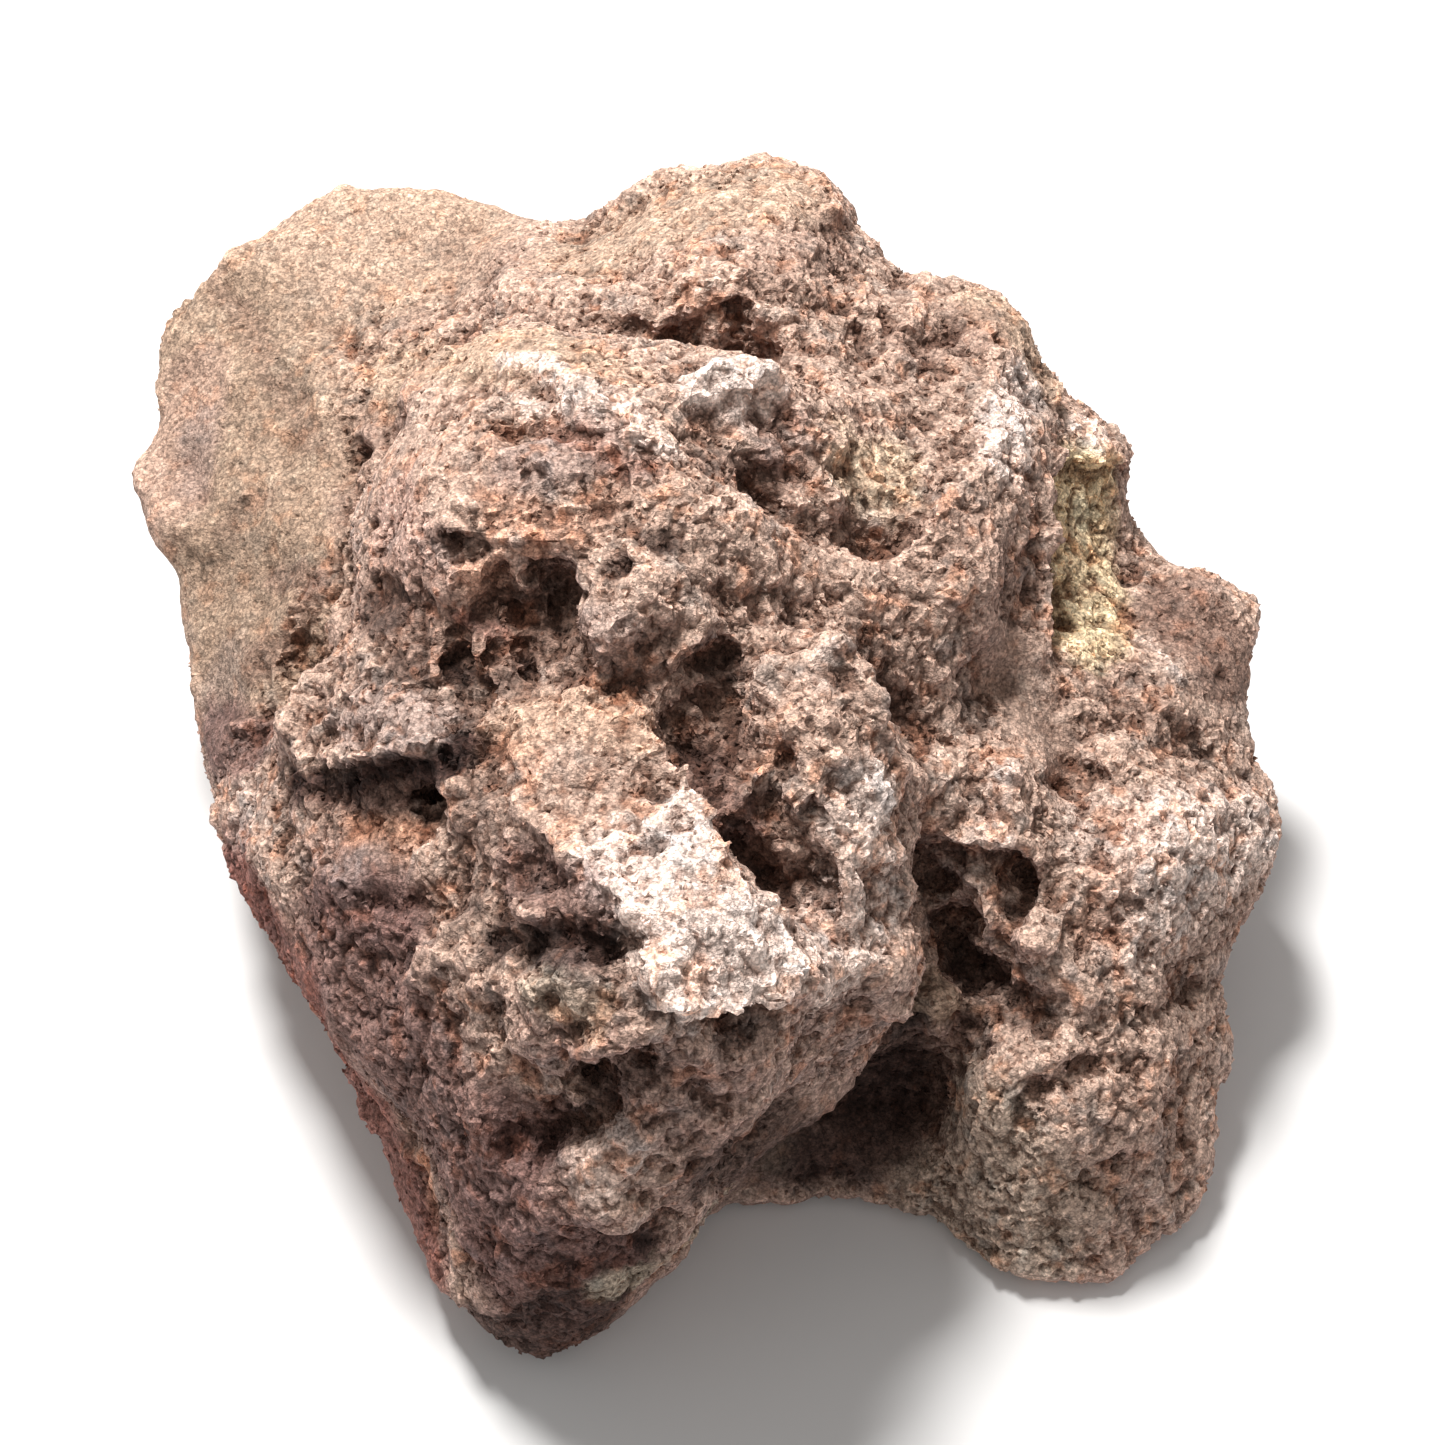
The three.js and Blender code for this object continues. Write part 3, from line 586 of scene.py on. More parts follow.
# %% Details of the plate, the smooth slab at the back left
PLATE_DETAILS = [
    ledge(1.8, 1.1, (-54.5, 43), (-56, 45), (-58, 47), (-60, 51), (-63, 56)),
    ledge(2.2, 1.2, (-28.5, 50.5), (-35, 47), (-40, 42.5), (-45, 36.5)),
    hollow(1.6, 0.8, (-55.5, 35.5), (-53.5, 35.2)),
    cave(1.8, 1.4, (-44.6, 33.8), (-44.4, 32)),
    hollow(1.8, 0.9, (-67, 33), (-64.5, 29)),
    ledge(1.8, 1.0, (-61, 26), (-58, 30), (-60, 31)),
    hollow(1.4, 0.7, (-57, 22), (-53.5, 21.3), (-50, 21.5)),
    cave(1.2, 0.7, (-54.5, 19.3), (-52.5, 19)),
    hollow(1.3, 0.8, (-47.5, 17)),
    ledge(1.8, 1.2, (-55.5, 6), (-53, 11), (-51, 13.5)),
    hollow(1.3, 0.8, (-58, 7), (-56, 6)),
    hollow(1.6, 0.9, (-65, 2)),
    ledge(2.0, 1.4, (-57, 0), (-60, 0.3), (-64, 0)),
    mound(1.8, 0.7, (-60, 0.5)),
    hollow(1.6, 1, (-60, -4.8), (-56.5, -4)),
    cave(1.3, 1, (-55.6, 2)),
    hollow(1.2, 0.6, (-42, 45), (-39.5, 44)),
    hollow(1.2, 0.5, (-30, 62.5), (-28, 63.5)),
    hollow(1.3, 0.5, (-62, 57), (-61, 53)),
    mound(5.0, 0.5, (-47, 40), (-50, 30)),
]
print("plate:", len(PLATE_DETAILS), "strokes")

# %% Details of the crown, the knobbly mass in the middle
CROWN_DETAILS = [
    hollow(1.2, 1.2, (-24, 47.6)),
    hollow(0.9, 1.0, (-18, 49.3)),
    hollow(1.8, 1.3, (-34, 43), (-31, 43.2)),
    cave(0.9, 0.9, (-35.4, 39.5), (-36, 38), (-35, 37)),
    cave(1.4, 1.1, (-23.5, 41.3), (-21.5, 41)),
    cave(1.5, 1.4, (-27.5, 36.8), (-25.5, 36.2)),
    hollow(0.9, 1.3, (-21, 36), (-18.5, 36.5)),
    cave(1.2, 1.1, (-14, 33), (-13.5, 34)),
    cave(1.1, 1, (-13, 31)),
    hollow(2.0, 1.4, (-9, 33.5), (-8, 31)),
    cave(1.4, 1.3, (-8.7, 22), (-6, 22.5)),
    cave(1.4, 1.3, (-12.8, 18.8), (-11.8, 19)),
    cave(1.2, 1.2, (-22.5, 20), (-21.5, 18), (-22.5, 15.5), (-20, 14)),
    hollow(0.8, 1.8, (-26.5, 19.5), (-24, 19), (-22.8, 17.5)),
    mound(1.5, 1.3, (-25.5, 17.5)),
    cave(1.8, 1.7, (-34.5, 22.3), (-31, 21.7)),
    mound(0.9, 1.0, (-34.8, 18.6), (-32, 19.6), (-29.8, 18.8)),
    cave(1.2, 1.1, (-33, 17), (-30, 17.3)),
    cave(2.6, 2.5, (-43.5, 15.5), (-41, 15.8)),
    plane(2.6, 0.9, (-41.5, 11.5)),
    hollow(0.7, 1.0, (-37, 15.6), (-34, 15)),
    hollow(0.7, 1.0, (-36, 13.2), (-31.5, 12.8)),
    cave(1.4, 1.3, (-37.5, 10.6), (-31.5, 10.8)),
    cave(1.2, 1.1, (-41, 7.6), (-38.2, 7.2)),
    cave(1.2, 1.1, (-33.5, 8.4), (-30, 8)),
    mound(1.2, 1.4, (-36.3, 7.5)),
    mound(1.3, 1.2, (-30, 6.8)),
    cave(1.5, 1.5, (-24.8, 8.6), (-24, 5.6)),
    cave(1.2, 1.1, (-26, 13.8), (-23.5, 13.5)),
    cave(1.0, 0.9, (-28.5, 10.4)),
    mound(1.3, 1.2, (-27.2, 12), (-25, 11.5)),
    hollow(0.8, 1.8, (-19.5, 17), (-17.5, 16)),
    mound(1.6, 1.3, (-17.5, 18.6)),
    mound(1.3, 1.2, (-23.3, 32.4)),
    mound(1.4, 1.2, (-19.5, 27)),
    hollow(0.7, 1.0, (-17.5, 13.6), (-13, 13.9)),
    hollow(0.7, 1.1, (-16, 12), (-11, 11.4)),
    hollow(0.7, 1.0, (-14, 10), (-10, 9.5)),
    hollow(0.8, 1.2, (-5, 20), (-5.3, 16)),
    cave(0.8, 0.8, (-35.3, 27.2)),
    cave(0.7, 0.6, (-38, 31)),
    cave(1.2, 1, (-43.2, 25), (-44.7, 24)),
    hollow(0.7, 1.2, (-38.5, 24.3), (-36.3, 21.8)),
    hollow(0.8, 1.2, (-28, 24.5), (-26.8, 23)),
    hollow(0.8, 1.3, (-20, 21.5), (-18, 20.8)),
    ledge(1.3, 0.9, (-45, 27), (-40, 29.5), (-34, 30)),
    ledge(1.2, 0.8, (-33, 33), (-29, 34.5)),
    ledge(1.2, 1.0, (-31, 26), (-27, 27), (-24, 25.5)),
    hollow(0.8, 1.0, (-42, 20.5), (-39, 21)),
    hollow(0.8, 1.0, (-45.3, 19.5), (-47, 16)),
    cave(0.9, 0.9, (-47, 12.3), (-46, 10.3)),
    ledge(1.2, 1.0, (-21, 29.5), (-17, 31), (-14.5, 29)),
    hollow(0.8, 1.1, (-16.5, 27), (-14.8, 25)),
    ledge(1.1, 0.9, (-10, 30), (-5, 30), (0, 28.5), (3, 25.8)),
]
print("crown:", len(CROWN_DETAILS), "strokes")

# %% Details of the mass behind the crown
BACK_DETAILS = [
    cave(1.0, 0.9, (6, 63.5)),
    cave(0.9, 0.8, (3.4, 65.2), (4, 66)),
    hollow(0.7, 0.9, (-1.5, 63.4), (1.5, 64.6)),
    cave(1.3, 1.2, (-3, 51), (0, 52), (3, 50.4)),
    cave(1.1, 1.0, (2, 48.2), (4, 47.6)),
    mound(0.8, 1.0, (5.6, 49.3), (5.4, 47)),
    cave(0.9, 0.9, (-9.5, 49), (-7.5, 48), (-5.5, 48.2)),
    hollow(0.8, 1.2, (-6, 46.5)),
    cave(1.1, 1, (16.8, 49.4), (18.4, 46.6)),
    cave(1.0, 0.9, (20.3, 52), (20.5, 49)),
    plane(1.8, 0.9, (19.2, 49)),
    hollow(0.8, 1.6, (7, 45), (10, 43.7), (11.5, 42.4)),
    hollow(0.9, 0.9, (-1.5, 43.2), (0.5, 43.4)),
    hollow(0.9, 0.9, (1, 40.8), (4, 40.4)),
    cave(1.4, 1.3, (4.5, 37.5), (7, 36.6)),
    cave(1.0, 0.9, (8.8, 34)),
    mound(0.9, 0.9, (7.2, 35.4)),
    cave(1.0, 0.9, (1.5, 33), (4.5, 32)),
    hollow(0.8, 1.2, (9.5, 31.4), (11.5, 31.6)),
    hollow(0.7, 1.1, (7.4, 28.6), (8, 26)),
    hollow(0.8, 1.3, (16.6, 27), (17, 24)),
    ledge(1.6, 1.0, (-8, 55), (-2, 54.5), (4, 55.5), (9, 54)),
    ledge(1.3, 0.9, (9, 52), (13, 53.5)),
    hollow(0.8, 0.9, (6.4, 53), (7.4, 52)),
    hollow(2.2, 1.3, (14.5, 62), (12.5, 58.5), (12, 55.5)),
    ledge(1.4, 0.9, (10, 39), (14, 38.5), (17, 39.5)),
    ledge(1.2, 0.8, (13, 42), (18, 42.5), (22, 44.5)),
]
print("back:", len(BACK_DETAILS), "strokes")

# %% Details of the crest and the right lobe
RIGHT_DETAILS = [
    cave(1.1, 1, (25.4, 46.6)),
    hollow(0.8, 1.2, (20.5, 42), (23.5, 45), (25, 46)),
    cave(1.1, 1, (23.6, 38), (26.4, 38)),
    cave(1.1, 1, (27.5, 32.6), (31.2, 34.6)),
    hollow(0.8, 1.5, (28.2, 29.6), (25, 26), (22, 23)),
    hollow(0.7, 1.0, (22.5, 33.2), (24.6, 32.6)),
    cave(1.0, 0.8, (38, 40)),
    ledge(1.4, 1.0, (49.5, 31), (45, 32), (41.5, 32.5)),
    cave(1.3, 1.2, (41.6, 27.6), (41.8, 26.4)),
    cave(1.0, 0.9, (46.5, 24)),
    hollow(0.7, 1.0, (45.8, 21.6), (46.4, 20.8)),
    hollow(0.8, 1.1, (43.8, 28.8), (43.6, 27)),
    ledge(0.9, 0.9, (44, 26), (44.6, 22), (43.5, 19)),
    cave(1.6, 1.5, (41.8, 15.8)),
    cave(1.8, 1.7, (41.8, 12.8), (43, 12.4)),
    ledge(1.0, 1.0, (44.2, 11.8), (43.8, 14), (43.4, 17.5)),
    cave(0.8, 0.8, (45.4, 12.2), (48.4, 13)),
    hollow(0.7, 1.0, (47.2, 15.4), (48.3, 15.8)),
    hollow(1.2, 1.2, (57, 16.6), (60, 14), (61, 11.5)),
    hollow(0.9, 1.4, (50.2, 5.4), (55, 5.8)),
    hollow(0.8, 1.0, (50.5, 13.5), (52, 12)),
    ledge(1.0, 0.8, (49, 9), (53, 8.6), (56.5, 6.4)),
    cave(1.0, 0.9, (41, 2), (42.6, 2.8)),
    cave(0.9, 0.9, (46.4, -0.4), (48, -0.6)),
    cave(1.3, 1.2, (42.4, -7.7), (44.2, -7.7)),
    cave(1.1, 1, (45.2, -6), (47.4, -7)),
    cave(0.9, 0.9, (44, -4.6)),
    mound(0.9, 0.8, (42.5, 1), (47, 1)),
    hollow(1.1, 1.2, (55, 0.4), (59, -2.2), (61, -3.6)),
    ledge(1.2, 0.8, (50, -10), (53, -9), (57, -9.4)),
    hollow(0.8, 1.0, (63, -10), (65, -8)),
    hollow(1.0, 1.2, (43.8, -16.6), (47, -16.4)),
    cave(1.4, 1.3, (51.6, -23.6), (50.6, -22.4)),
    hollow(1.1, 1.3, (45.6, -20.4), (46, -22.6)),
    hollow(1.0, 1.0, (43.6, -25), (46.4, -26)),
    ledge(1.3, 0.9, (40.6, -20), (42.6, -24), (41.4, -28)),
    cave(1.4, 1.3, (58, -34.2), (59.5, -33)),
    hollow(1.0, 1.0, (47.5, -31.4), (50.5, -31)),
    hollow(1.2, 1.2, (62, -25), (64.5, -22.6)),
    ledge(1.4, 1.0, (32, -14.4), (34.5, -16.5), (37, -20)),
    hollow(0.8, 1.8, (32, -4.6), (31.2, -9.4)),
    hollow(0.9, 1.6, (33.6, -10.6), (36.6, -12.2)),
    mound(1.4, 1.2, (28, -7.6)),
    mound(1.6, 1.0, (36.8, -6.4)),
    hollow(0.8, 1.5, (30, -11), (28.6, -13.4)),
    hollow(0.7, 1.2, (25.4, 0), (28, 1.2)),
    cave(1.6, 1.4, (29, -27.5), (33, -32), (38, -36)),
    hollow(0.9, 1.3, (38.8, -9), (39.6, -13.6)),
]
print("right:", len(RIGHT_DETAILS), "strokes")

# %% Details of the ridge beside the spur
MIDDLE_DETAILS = [
    cave(2.2, 2.1, (-2.6, 7.4), (1.6, 7.4)),
    cave(0.8, 0.8, (-1, 9.6)),
    mound(0.9, 1.1, (-6.2, 6), (-4.8, 9), (-2.5, 10.8), (0.5, 11), (2.8, 9.2), (3.8, 6.6)),
    cave(0.9, 0.9, (-3, 16.2), (0.6, 16.6)),
    cave(1.0, 0.9, (7, 11.8), (9.5, 12.5), (13, 11.5)),
    cave(0.8, 0.8, (8.8, 13.6)),
    hollow(0.8, 1.3, (17.5, 17.8)),
    hollow(0.8, 1.2, (14.6, 15.4)),
    mound(1.2, 1.2, (8, 10.6), (12, 10.8), (14.6, 10)),
    ledge(1.6, 1.5, (23.4, -5), (21, -1), (20, 3), (16.2, 8), (15, 10)),
    cave(1.4, 1.3, (17.2, 8.6), (19.4, 6), (21, 2)),
    ledge(1.2, 0.9, (4.4, -1), (5, 4), (7, 9)),
    plane(2.4, 0.8, (8, 6.5)),
    plane(2.2, 0.8, (16.5, 3)),
    cave(0.9, 0.9, (13.4, -1), (14.2, -3)),
    hollow(0.6, 1.3, (15.2, 0.4), (15, -2)),
    hollow(1.4, 1.2, (11, -3.4), (12, -4.6)),
    plane(1.8, 0.9, (17, -4.6)),
    cave(1.1, 1, (15.6, -8), (16.6, -7.8)),
    hollow(0.7, 1.1, (19.6, -1.4), (22, -4)),
    mound(2.0, 1.6, (4.6, -6.6)),
    cave(1.3, 1.2, (6.2, -5.6), (8, -4.6)),
    cave(1.2, 1.1, (-6.6, -4.6), (-4, -3.4), (-1, -2.8), (2, -3.6)),
    cave(1.0, 0.9, (-2, -5.6), (1.6, -6.6)),
    mound(1.0, 1.2, (-3.6, -1), (0.4, -1)),
    hollow(2.8, 1.6, (-3, 3.2), (0, 3)),
    mound(1.6, 1.3, (3, 2.4)),
    cave(1.3, 1.2, (11, -17), (12.6, -18.4), (13.4, -20.4), (13.2, -23)),
    plane(2.6, 0.8, (15, -14)),
    hollow(0.9, 1.5, (10.4, -11), (13.6, -11.6)),
    hollow(0.8, 1.3, (17.6, -10.4), (17.8, -12.8)),
    ledge(1.4, 1.1, (24, -22), (22.4, -18), (20, -14)),
    hollow(0.7, 1.0, (21, 17.6), (25, 15.6), (27, 14.6)),
    hollow(0.9, 1.4, (16.2, 22.6), (18, 22.4)),
    hollow(0.8, 1.2, (23.6, 5.2), (26.6, 3.8)),
    hollow(0.8, 1.0, (21.4, 10), (25, 11)),
    hollow(0.8, 1.1, (3.8, -8), (4.4, -10)),
    mound(1.2, 0.8, (-2, -10), (0, -11)),
    ledge(1.0, 0.8, (30.5, 13), (34, 14.6), (36, 12.8)),
]
print("middle:", len(MIDDLE_DETAILS), "strokes")

# %% Details of the spur that points down
SPUR_DETAILS = [
    hollow(0.9, 1.6, (-16, 2.6), (-14, 2.1)),
    mound(1.4, 1.3, (-12.5, 3.6)),
    ledge(1.3, 1.3, (-4, -10), (-6.3, -6), (-7.6, -2), (-9.6, 2.2)),
    ledge(1.3, 1.1, (2, -17.4), (-1, -14.4), (-4, -10)),
    hollow(0.9, 2.2, (-13.3, -1)),
    hollow(0.5, 0.9, (-12, 4.2)),
    cave(1.0, 0.9, (-29.5, -8.2), (-27.4, -6.8), (-25.8, -7.1)),
    hollow(1.5, 1.3, (-9, -8), (-8, -9.6)),
    hollow(1.3, 1.3, (-8.6, -14.8), (-6, -14)),
    cave(1.2, 1.1, (-16.6, -16.8), (-15.2, -16.6)),
    cave(0.9, 0.9, (-18.2, -18)),
    cave(1.5, 1.4, (-26, -19.6), (-20, -20.4)),
    cave(1.5, 1.4, (-14.6, -20.6), (-14, -23)),
    mound(1.4, 1.5, (-25.5, -23.2)),
    mound(1.2, 1.4, (-22.8, -24)),
    mound(1.2, 1.3, (-25, -26)),
    cave(1.8, 1.7, (-28.4, -27.6), (-23, -28.2), (-18, -27.6), (-15, -28)),
    mound(0.8, 0.9, (-17.8, -29), (-17.4, -31), (-15.2, -31.8)),
    cave(1.7, 1.6, (-15.6, -29.4)),
    cave(1.1, 1, (-28.8, -29.6), (-29.6, -31)),
    mound(1.2, 1.0, (-24.6, -32.6), (-23, -33.6)),
    cave(1.2, 1.1, (-29.4, -35.6), (-28.2, -38.6)),
    hollow(0.9, 1.3, (-15.7, -34.5)),
    hollow(0.7, 1.0, (-14, -33.4)),
    cave(1.2, 1.1, (-18.2, -38.6)),
    mound(1.0, 0.9, (-11, -29.6), (-6, -29.2), (-2, -31)),
    cave(1.2, 1.1, (-8.6, -37), (-3, -37.2)),
    mound(0.8, 0.8, (-10, -31.5), (-7, -33.4), (-3.6, -35)),
    hollow(0.7, 0.9, (-5.6, -13.4), (-4.4, -16.6)),
    hollow(0.6, 0.9, (-12.8, -17), (-10.6, -20)),
    hollow(0.6, 0.9, (-10.2, -15), (-9.8, -23)),
    hollow(0.7, 0.9, (-12, -12), (-15, -13.4)),
    hollow(0.6, 0.8, (-6.6, -19), (-3.6, -19.4)),
    hollow(0.6, 0.8, (-4.2, -22.6), (-3.4, -25)),
    hollow(1.1, 1.0, (-23, -7.6), (-21, -7.2)),
    hollow(0.6, 0.9, (-27, 2), (-25, 0.4), (-22.5, 0.6)),
    hollow(0.6, 0.8, (-20.4, -4), (-17.6, -4.4)),
    cave(1.1, 1, (-31.8, -20), (-32.6, -23)),
    mound(1.1, 1.1, (-30.5, -19.5)),
    mound(1.3, 1.0, (-26.6, -17), (-28.4, -20)),
    mound(1.3, 1.0, (-37.5, -27.5), (-36.5, -31)),
    mound(1.0, 0.9, (-33.4, -26), (-31.6, -28.6)),
    cave(1.1, 1, (-30.4, -25.6), (-29.6, -27.4)),
    cave(1.9, 1.8, (-17, -43), (-13.6, -44.4), (-10, -42.4)),
    cave(0.9, 0.9, (-25, -41), (-22.6, -41.4)),
    mound(1.5, 1.1, (-20, -45.6), (-17.6, -46.4)),
    mound(0.8, 0.8, (-17, -41), (-13, -41.4), (-9, -39.6)),
    cave(1.5, 1.4, (-19, -49.5), (-16.5, -50), (-16, -52)),
    cave(1.2, 1.1, (-22.2, -50), (-20.8, -54)),
    mound(1.2, 1.2, (-23.8, -52.6)),
    plane(2.6, 0.8, (-15.5, -56.5)),
    ledge(1.2, 1.0, (-21.5, -56), (-17, -52.6), (-13, -50)),
    cave(1.2, 1.1, (-8.6, -55.6), (-7, -56.6)),
    mound(0.6, 0.8, (-6.4, -53.6), (-5.2, -56.6)),
    cave(1.0, 0.9, (-4.6, -52.6), (-3.6, -56)),
    cave(1.5, 1.4, (-10.6, -59.6), (-6.6, -60)),
    cave(1.5, 1.3, (-18, -63.6), (-13.4, -64.6)),
    hollow(1.0, 1.0, (-12.6, -60.4), (-11.4, -62.4)),
    ledge(1.2, 0.9, (-22, -63), (-19, -66.6), (-18, -70)),
    hollow(0.9, 1.2, (-6.2, -44.6), (-2, -46.6)),
    hollow(0.8, 0.9, (-9, -46), (-8.4, -50)),
]
print("spur:", len(SPUR_DETAILS), "strokes")

# %% Details of the left block and the flank
LEFT_DETAILS = [
    ledge(1.3, 1.1, (-35, 5.4), (-41, 5.6), (-46, 5.2), (-51, 6.6)),
    cave(0.9, 0.9, (-31, 5), (-28.4, 3), (-28, 0)),
    cave(1.7, 1.6, (-38.4, -3.8), (-36.6, -4)),
    cave(0.8, 0.8, (-49, -1), (-46, -1.4), (-43.5, -2.2), (-40.5, -1.4)),
    hollow(0.6, 0.8, (-49, -4.9), (-45, -4.8)),
    ledge(1.1, 1.2, (-29, -1.6), (-32.5, -3.6), (-36, -3)),
    cave(1.4, 1.3, (-52, -6.4), (-47, -6.6), (-44, -7.6), (-40, -5.8), (-35, -5.4), (-32, -4.6)),
    cave(1.0, 0.9, (-51, -8.8), (-46, -9.4), (-41, -9)),
    mound(1.1, 1.0, (-38, -7.6), (-36, -8.4)),
    mound(0.9, 0.8, (-43, -8)),
    hollow(0.6, 1.0, (-33.4, 1.2), (-30.4, 1.6)),
    hollow(0.6, 0.9, (-34.4, -1.4), (-31, -0.6)),
    hollow(0.7, 0.9, (-48, 2.2), (-46.8, 2)),
    cave(0.8, 0.8, (-46, 5.6), (-43.6, 5.6)),
    hollow(0.6, 0.9, (-46, -12.6), (-42.4, -12)),
    plane(3.2, 0.95, (-48.6, -17.6), (-46, -18.6)),
    ledge(1.1, 1.1, (-44.4, -21), (-47, -21.4), (-50.6, -19)),
    cave(1.2, 1.1, (-46, -23.4), (-42.8, -22.4)),
    hollow(0.9, 1.0, (-41.4, -17.4), (-40.6, -18.6)),
    hollow(0.8, 1.0, (-38.6, -22.4), (-36, -23.4)),
    mound(1.3, 0.9, (-36.4, -18), (-35, -16.6)),
    mound(1.0, 0.8, (-39.6, -20.6)),
    ledge(1.0, 0.9, (-31.6, -15.4), (-35, -15.2)),
    cave(1.3, 1.2, (-41, -27), (-40.2, -31.4)),
    hollow(0.9, 0.9, (-43.6, -29.6), (-42, -33.4)),
    hollow(0.6, 0.7, (-48.3, -32.6)),
    hollow(1.2, 1.2, (-56.2, -2), (-56.2, -5)),
    hollow(0.9, 1.2, (-55.5, -8), (-55.4, -14)),
    mound(1.8, 0.8, (-59.5, -8.6), (-61.5, -11)),
    hollow(0.8, 0.9, (-62.4, -10.2), (-58.4, -10.4)),
    cave(1.1, 1, (-33.4, -51), (-33, -54)),
    hollow(0.8, 0.8, (-41.4, -42.6), (-42.6, -40)),
    hollow(0.8, 0.8, (-38.4, -43), (-36.8, -45)),
    hollow(0.7, 0.8, (-30.6, -46.6), (-29, -50.6)),
    ledge(1.0, 0.8, (-36, -62.4), (-38.4, -56), (-41, -50)),
    hollow(0.9, 1.0, (-25, -66), (-24.4, -69.6)),
    mound(1.0, 0.8, (-30, -73), (-27, -73.4)),
]
print("left:", len(LEFT_DETAILS), "strokes")

# %% Details of the foot of the right lobe
FOOT_DETAILS = [
    ledge(1.4, 1.4, (33, -37), (31.4, -34.4), (26, -33.4), (21, -36)),
    cave(1.6, 1.5, (30.6, -38.6), (29.4, -37)),
    mound(1.0, 0.8, (27, -38.4)),
    cave(1.6, 1.5, (43.4, -43.4), (47, -43), (53, -42.6)),
    cave(1.3, 1.2, (40.6, -45.4), (43.6, -45.4)),
    mound(1.2, 1.0, (33.4, -46), (35.4, -49)),
    mound(1.4, 0.9, (31, -52), (34, -54)),
    hollow(1.1, 1.2, (38, -49.6), (40.6, -50)),
    hollow(0.8, 0.9, (31, -43.6), (35, -45.4)),
    hollow(0.8, 0.9, (36, -53.6), (40, -55.4)),
    cave(1.2, 1.1, (45.6, -58), (49.4, -56)),
    hollow(0.8, 0.8, (29.6, -57.4), (33.6, -59)),
    hollow(1.0, 1.0, (40, -60.4), (45, -60)),
    hollow(1.1, 1.0, (56.6, -47), (58, -50)),
    hollow(1.1, 1.0, (58.4, -51.6), (58.8, -55)),
    ledge(1.1, 0.8, (37, -64), (42, -62.4), (46, -63.4)),
    mound(1.6, 0.8, (54, -59), (53, -64)),
    hollow(0.8, 0.8, (33, -63.6), (37, -66)),
    hollow(0.8, 0.8, (44, -67.6), (49, -68)),
    hollow(0.8, 0.8, (24.6, -54), (28, -55.4)),
]
print("foot:", len(FOOT_DETAILS), "strokes")

# %% A brush for attributes
def brush_for(piece, ragged=2 * MM):
    """A soft brush for a piece: how strongly a stroke covers each of its points, 0 to 1."""
    points = read_points(piece)
    asked = points + ragged * wander(points, 3 * ragged, 3) + 0.5 * ragged * wander(points, ragged, 4)
    skin = BVHTree.FromObject(piece, bpy.context.evaluated_depsgraph_get())

    def cover(path, width, share=1.0):
        spine = [on_rock(skin, right, up) for right, up in path]
        away = distance_to_path(asked, spine)[0] / (width * MM)
        return share * np.clip(1.5 * (1 - away ** 2), 0, 1)

    return cover


def keep_attribute(piece, name, values):
    """Stores one number for each point, for Geometry Nodes and the material to read."""
    attribute = piece.data.attributes.get(name) or piece.data.attributes.new(name, "FLOAT", "POINT")
    attribute.data.foreach_set("value", values)


# %% Where the skin is calm
# Each stroke: its path, its width, and its share where it isn't the whole.
CALM = [
    ([(-34, 61), (-48, 60), (-58, 50)], 16),
    ([(-64, 44), (-66, 32), (-64, 18)], 15),
    ([(-56, 38), (-54, 26)], 11),
    ([(-59, 14), (-63, 2)], 9),
    ([(-22, 58), (-5, 63)], 9, 0.7),
    ([(-42, 38), (-34, 44), (-24, 47)], 7, 0.6),
    ([(-42, 31), (-32, 31)], 7, 0.6),
    ([(-20, 0), (-16, -12)], 6, 0.4),
    ([(-4, -24), (3, -30)], 7, 0.4),
    ([(-42, 14)], 4, 0.7),
    ([(-1, 42), (5, 43)], 6, 0.5),
    ([(-4, 64), (8, 66)], 9, 0.5),
    ([(27, 53), (36, 50)], 6, 0.5),
    ([(35, 8), (39, 2), (40, -3)], 6.0),
    ([(58, 14), (62, 6)], 9, 0.6),
    ([(-12, -74), (0, -62), (9, -53)], 4.5),
    ([(-56, -24), (-49, -38), (-41, -56), (-36, -70)], 4.0, 0.7),
    ([(-46, -16), (-41, -20)], 3.4),
    ([(10, -50), (20, -52)], 8, 0.8),
]
print("calm:", len(CALM), "strokes")

# %% Helpers for nodes
def add_node(tree, kind, inputs, **settings):
    """Adds a node to a tree, sets it up, and gives each input a value or a link."""
    made = tree.nodes.new(kind)
    for name, value in settings.items():
        setattr(made, name, value)
    for name, value in inputs.items():
        if isinstance(value, bpy.types.NodeSocket):
            tree.links.new(value, made.inputs[name])
        else:
            made.inputs[name].default_value = value
    return made


def math_node(tree, operation, *values):
    return add_node(tree, "ShaderNodeMath", dict(enumerate(values)), operation=operation).outputs[0]


def held(tree, value, least, most):
    """A value, kept from leaving its range."""
    return math_node(tree, "MINIMUM", math_node(tree, "MAXIMUM", value, least), most)


def vector_node(tree, operation, first, second):
    """One operation on vectors. The second value of SCALE is a number, and so is a DOT_PRODUCT."""
    slot = "Scale" if operation == "SCALE" else 1
    made = add_node(tree, "ShaderNodeVectorMath", {0: first, slot: second}, operation=operation)
    return made.outputs["Value" if operation == "DOT_PRODUCT" else "Vector"]


def centred(tree, random_colour):
    """A random colour, read as a vector about the origin."""
    return vector_node(tree, "SUBTRACT", random_colour, (0.5, 0.5, 0.5))


def noise_node(tree, position, size, detail, roughness=0.5):
    """Noise whose bumps are `size` apart: its grey value and its colour."""
    made = add_node(tree, "ShaderNodeTexNoise", {
        "Vector": position, "Scale": 1 / size, "Detail": detail, "Roughness": roughness,
    })
    return made.outputs["Fac"], made.outputs["Color"]


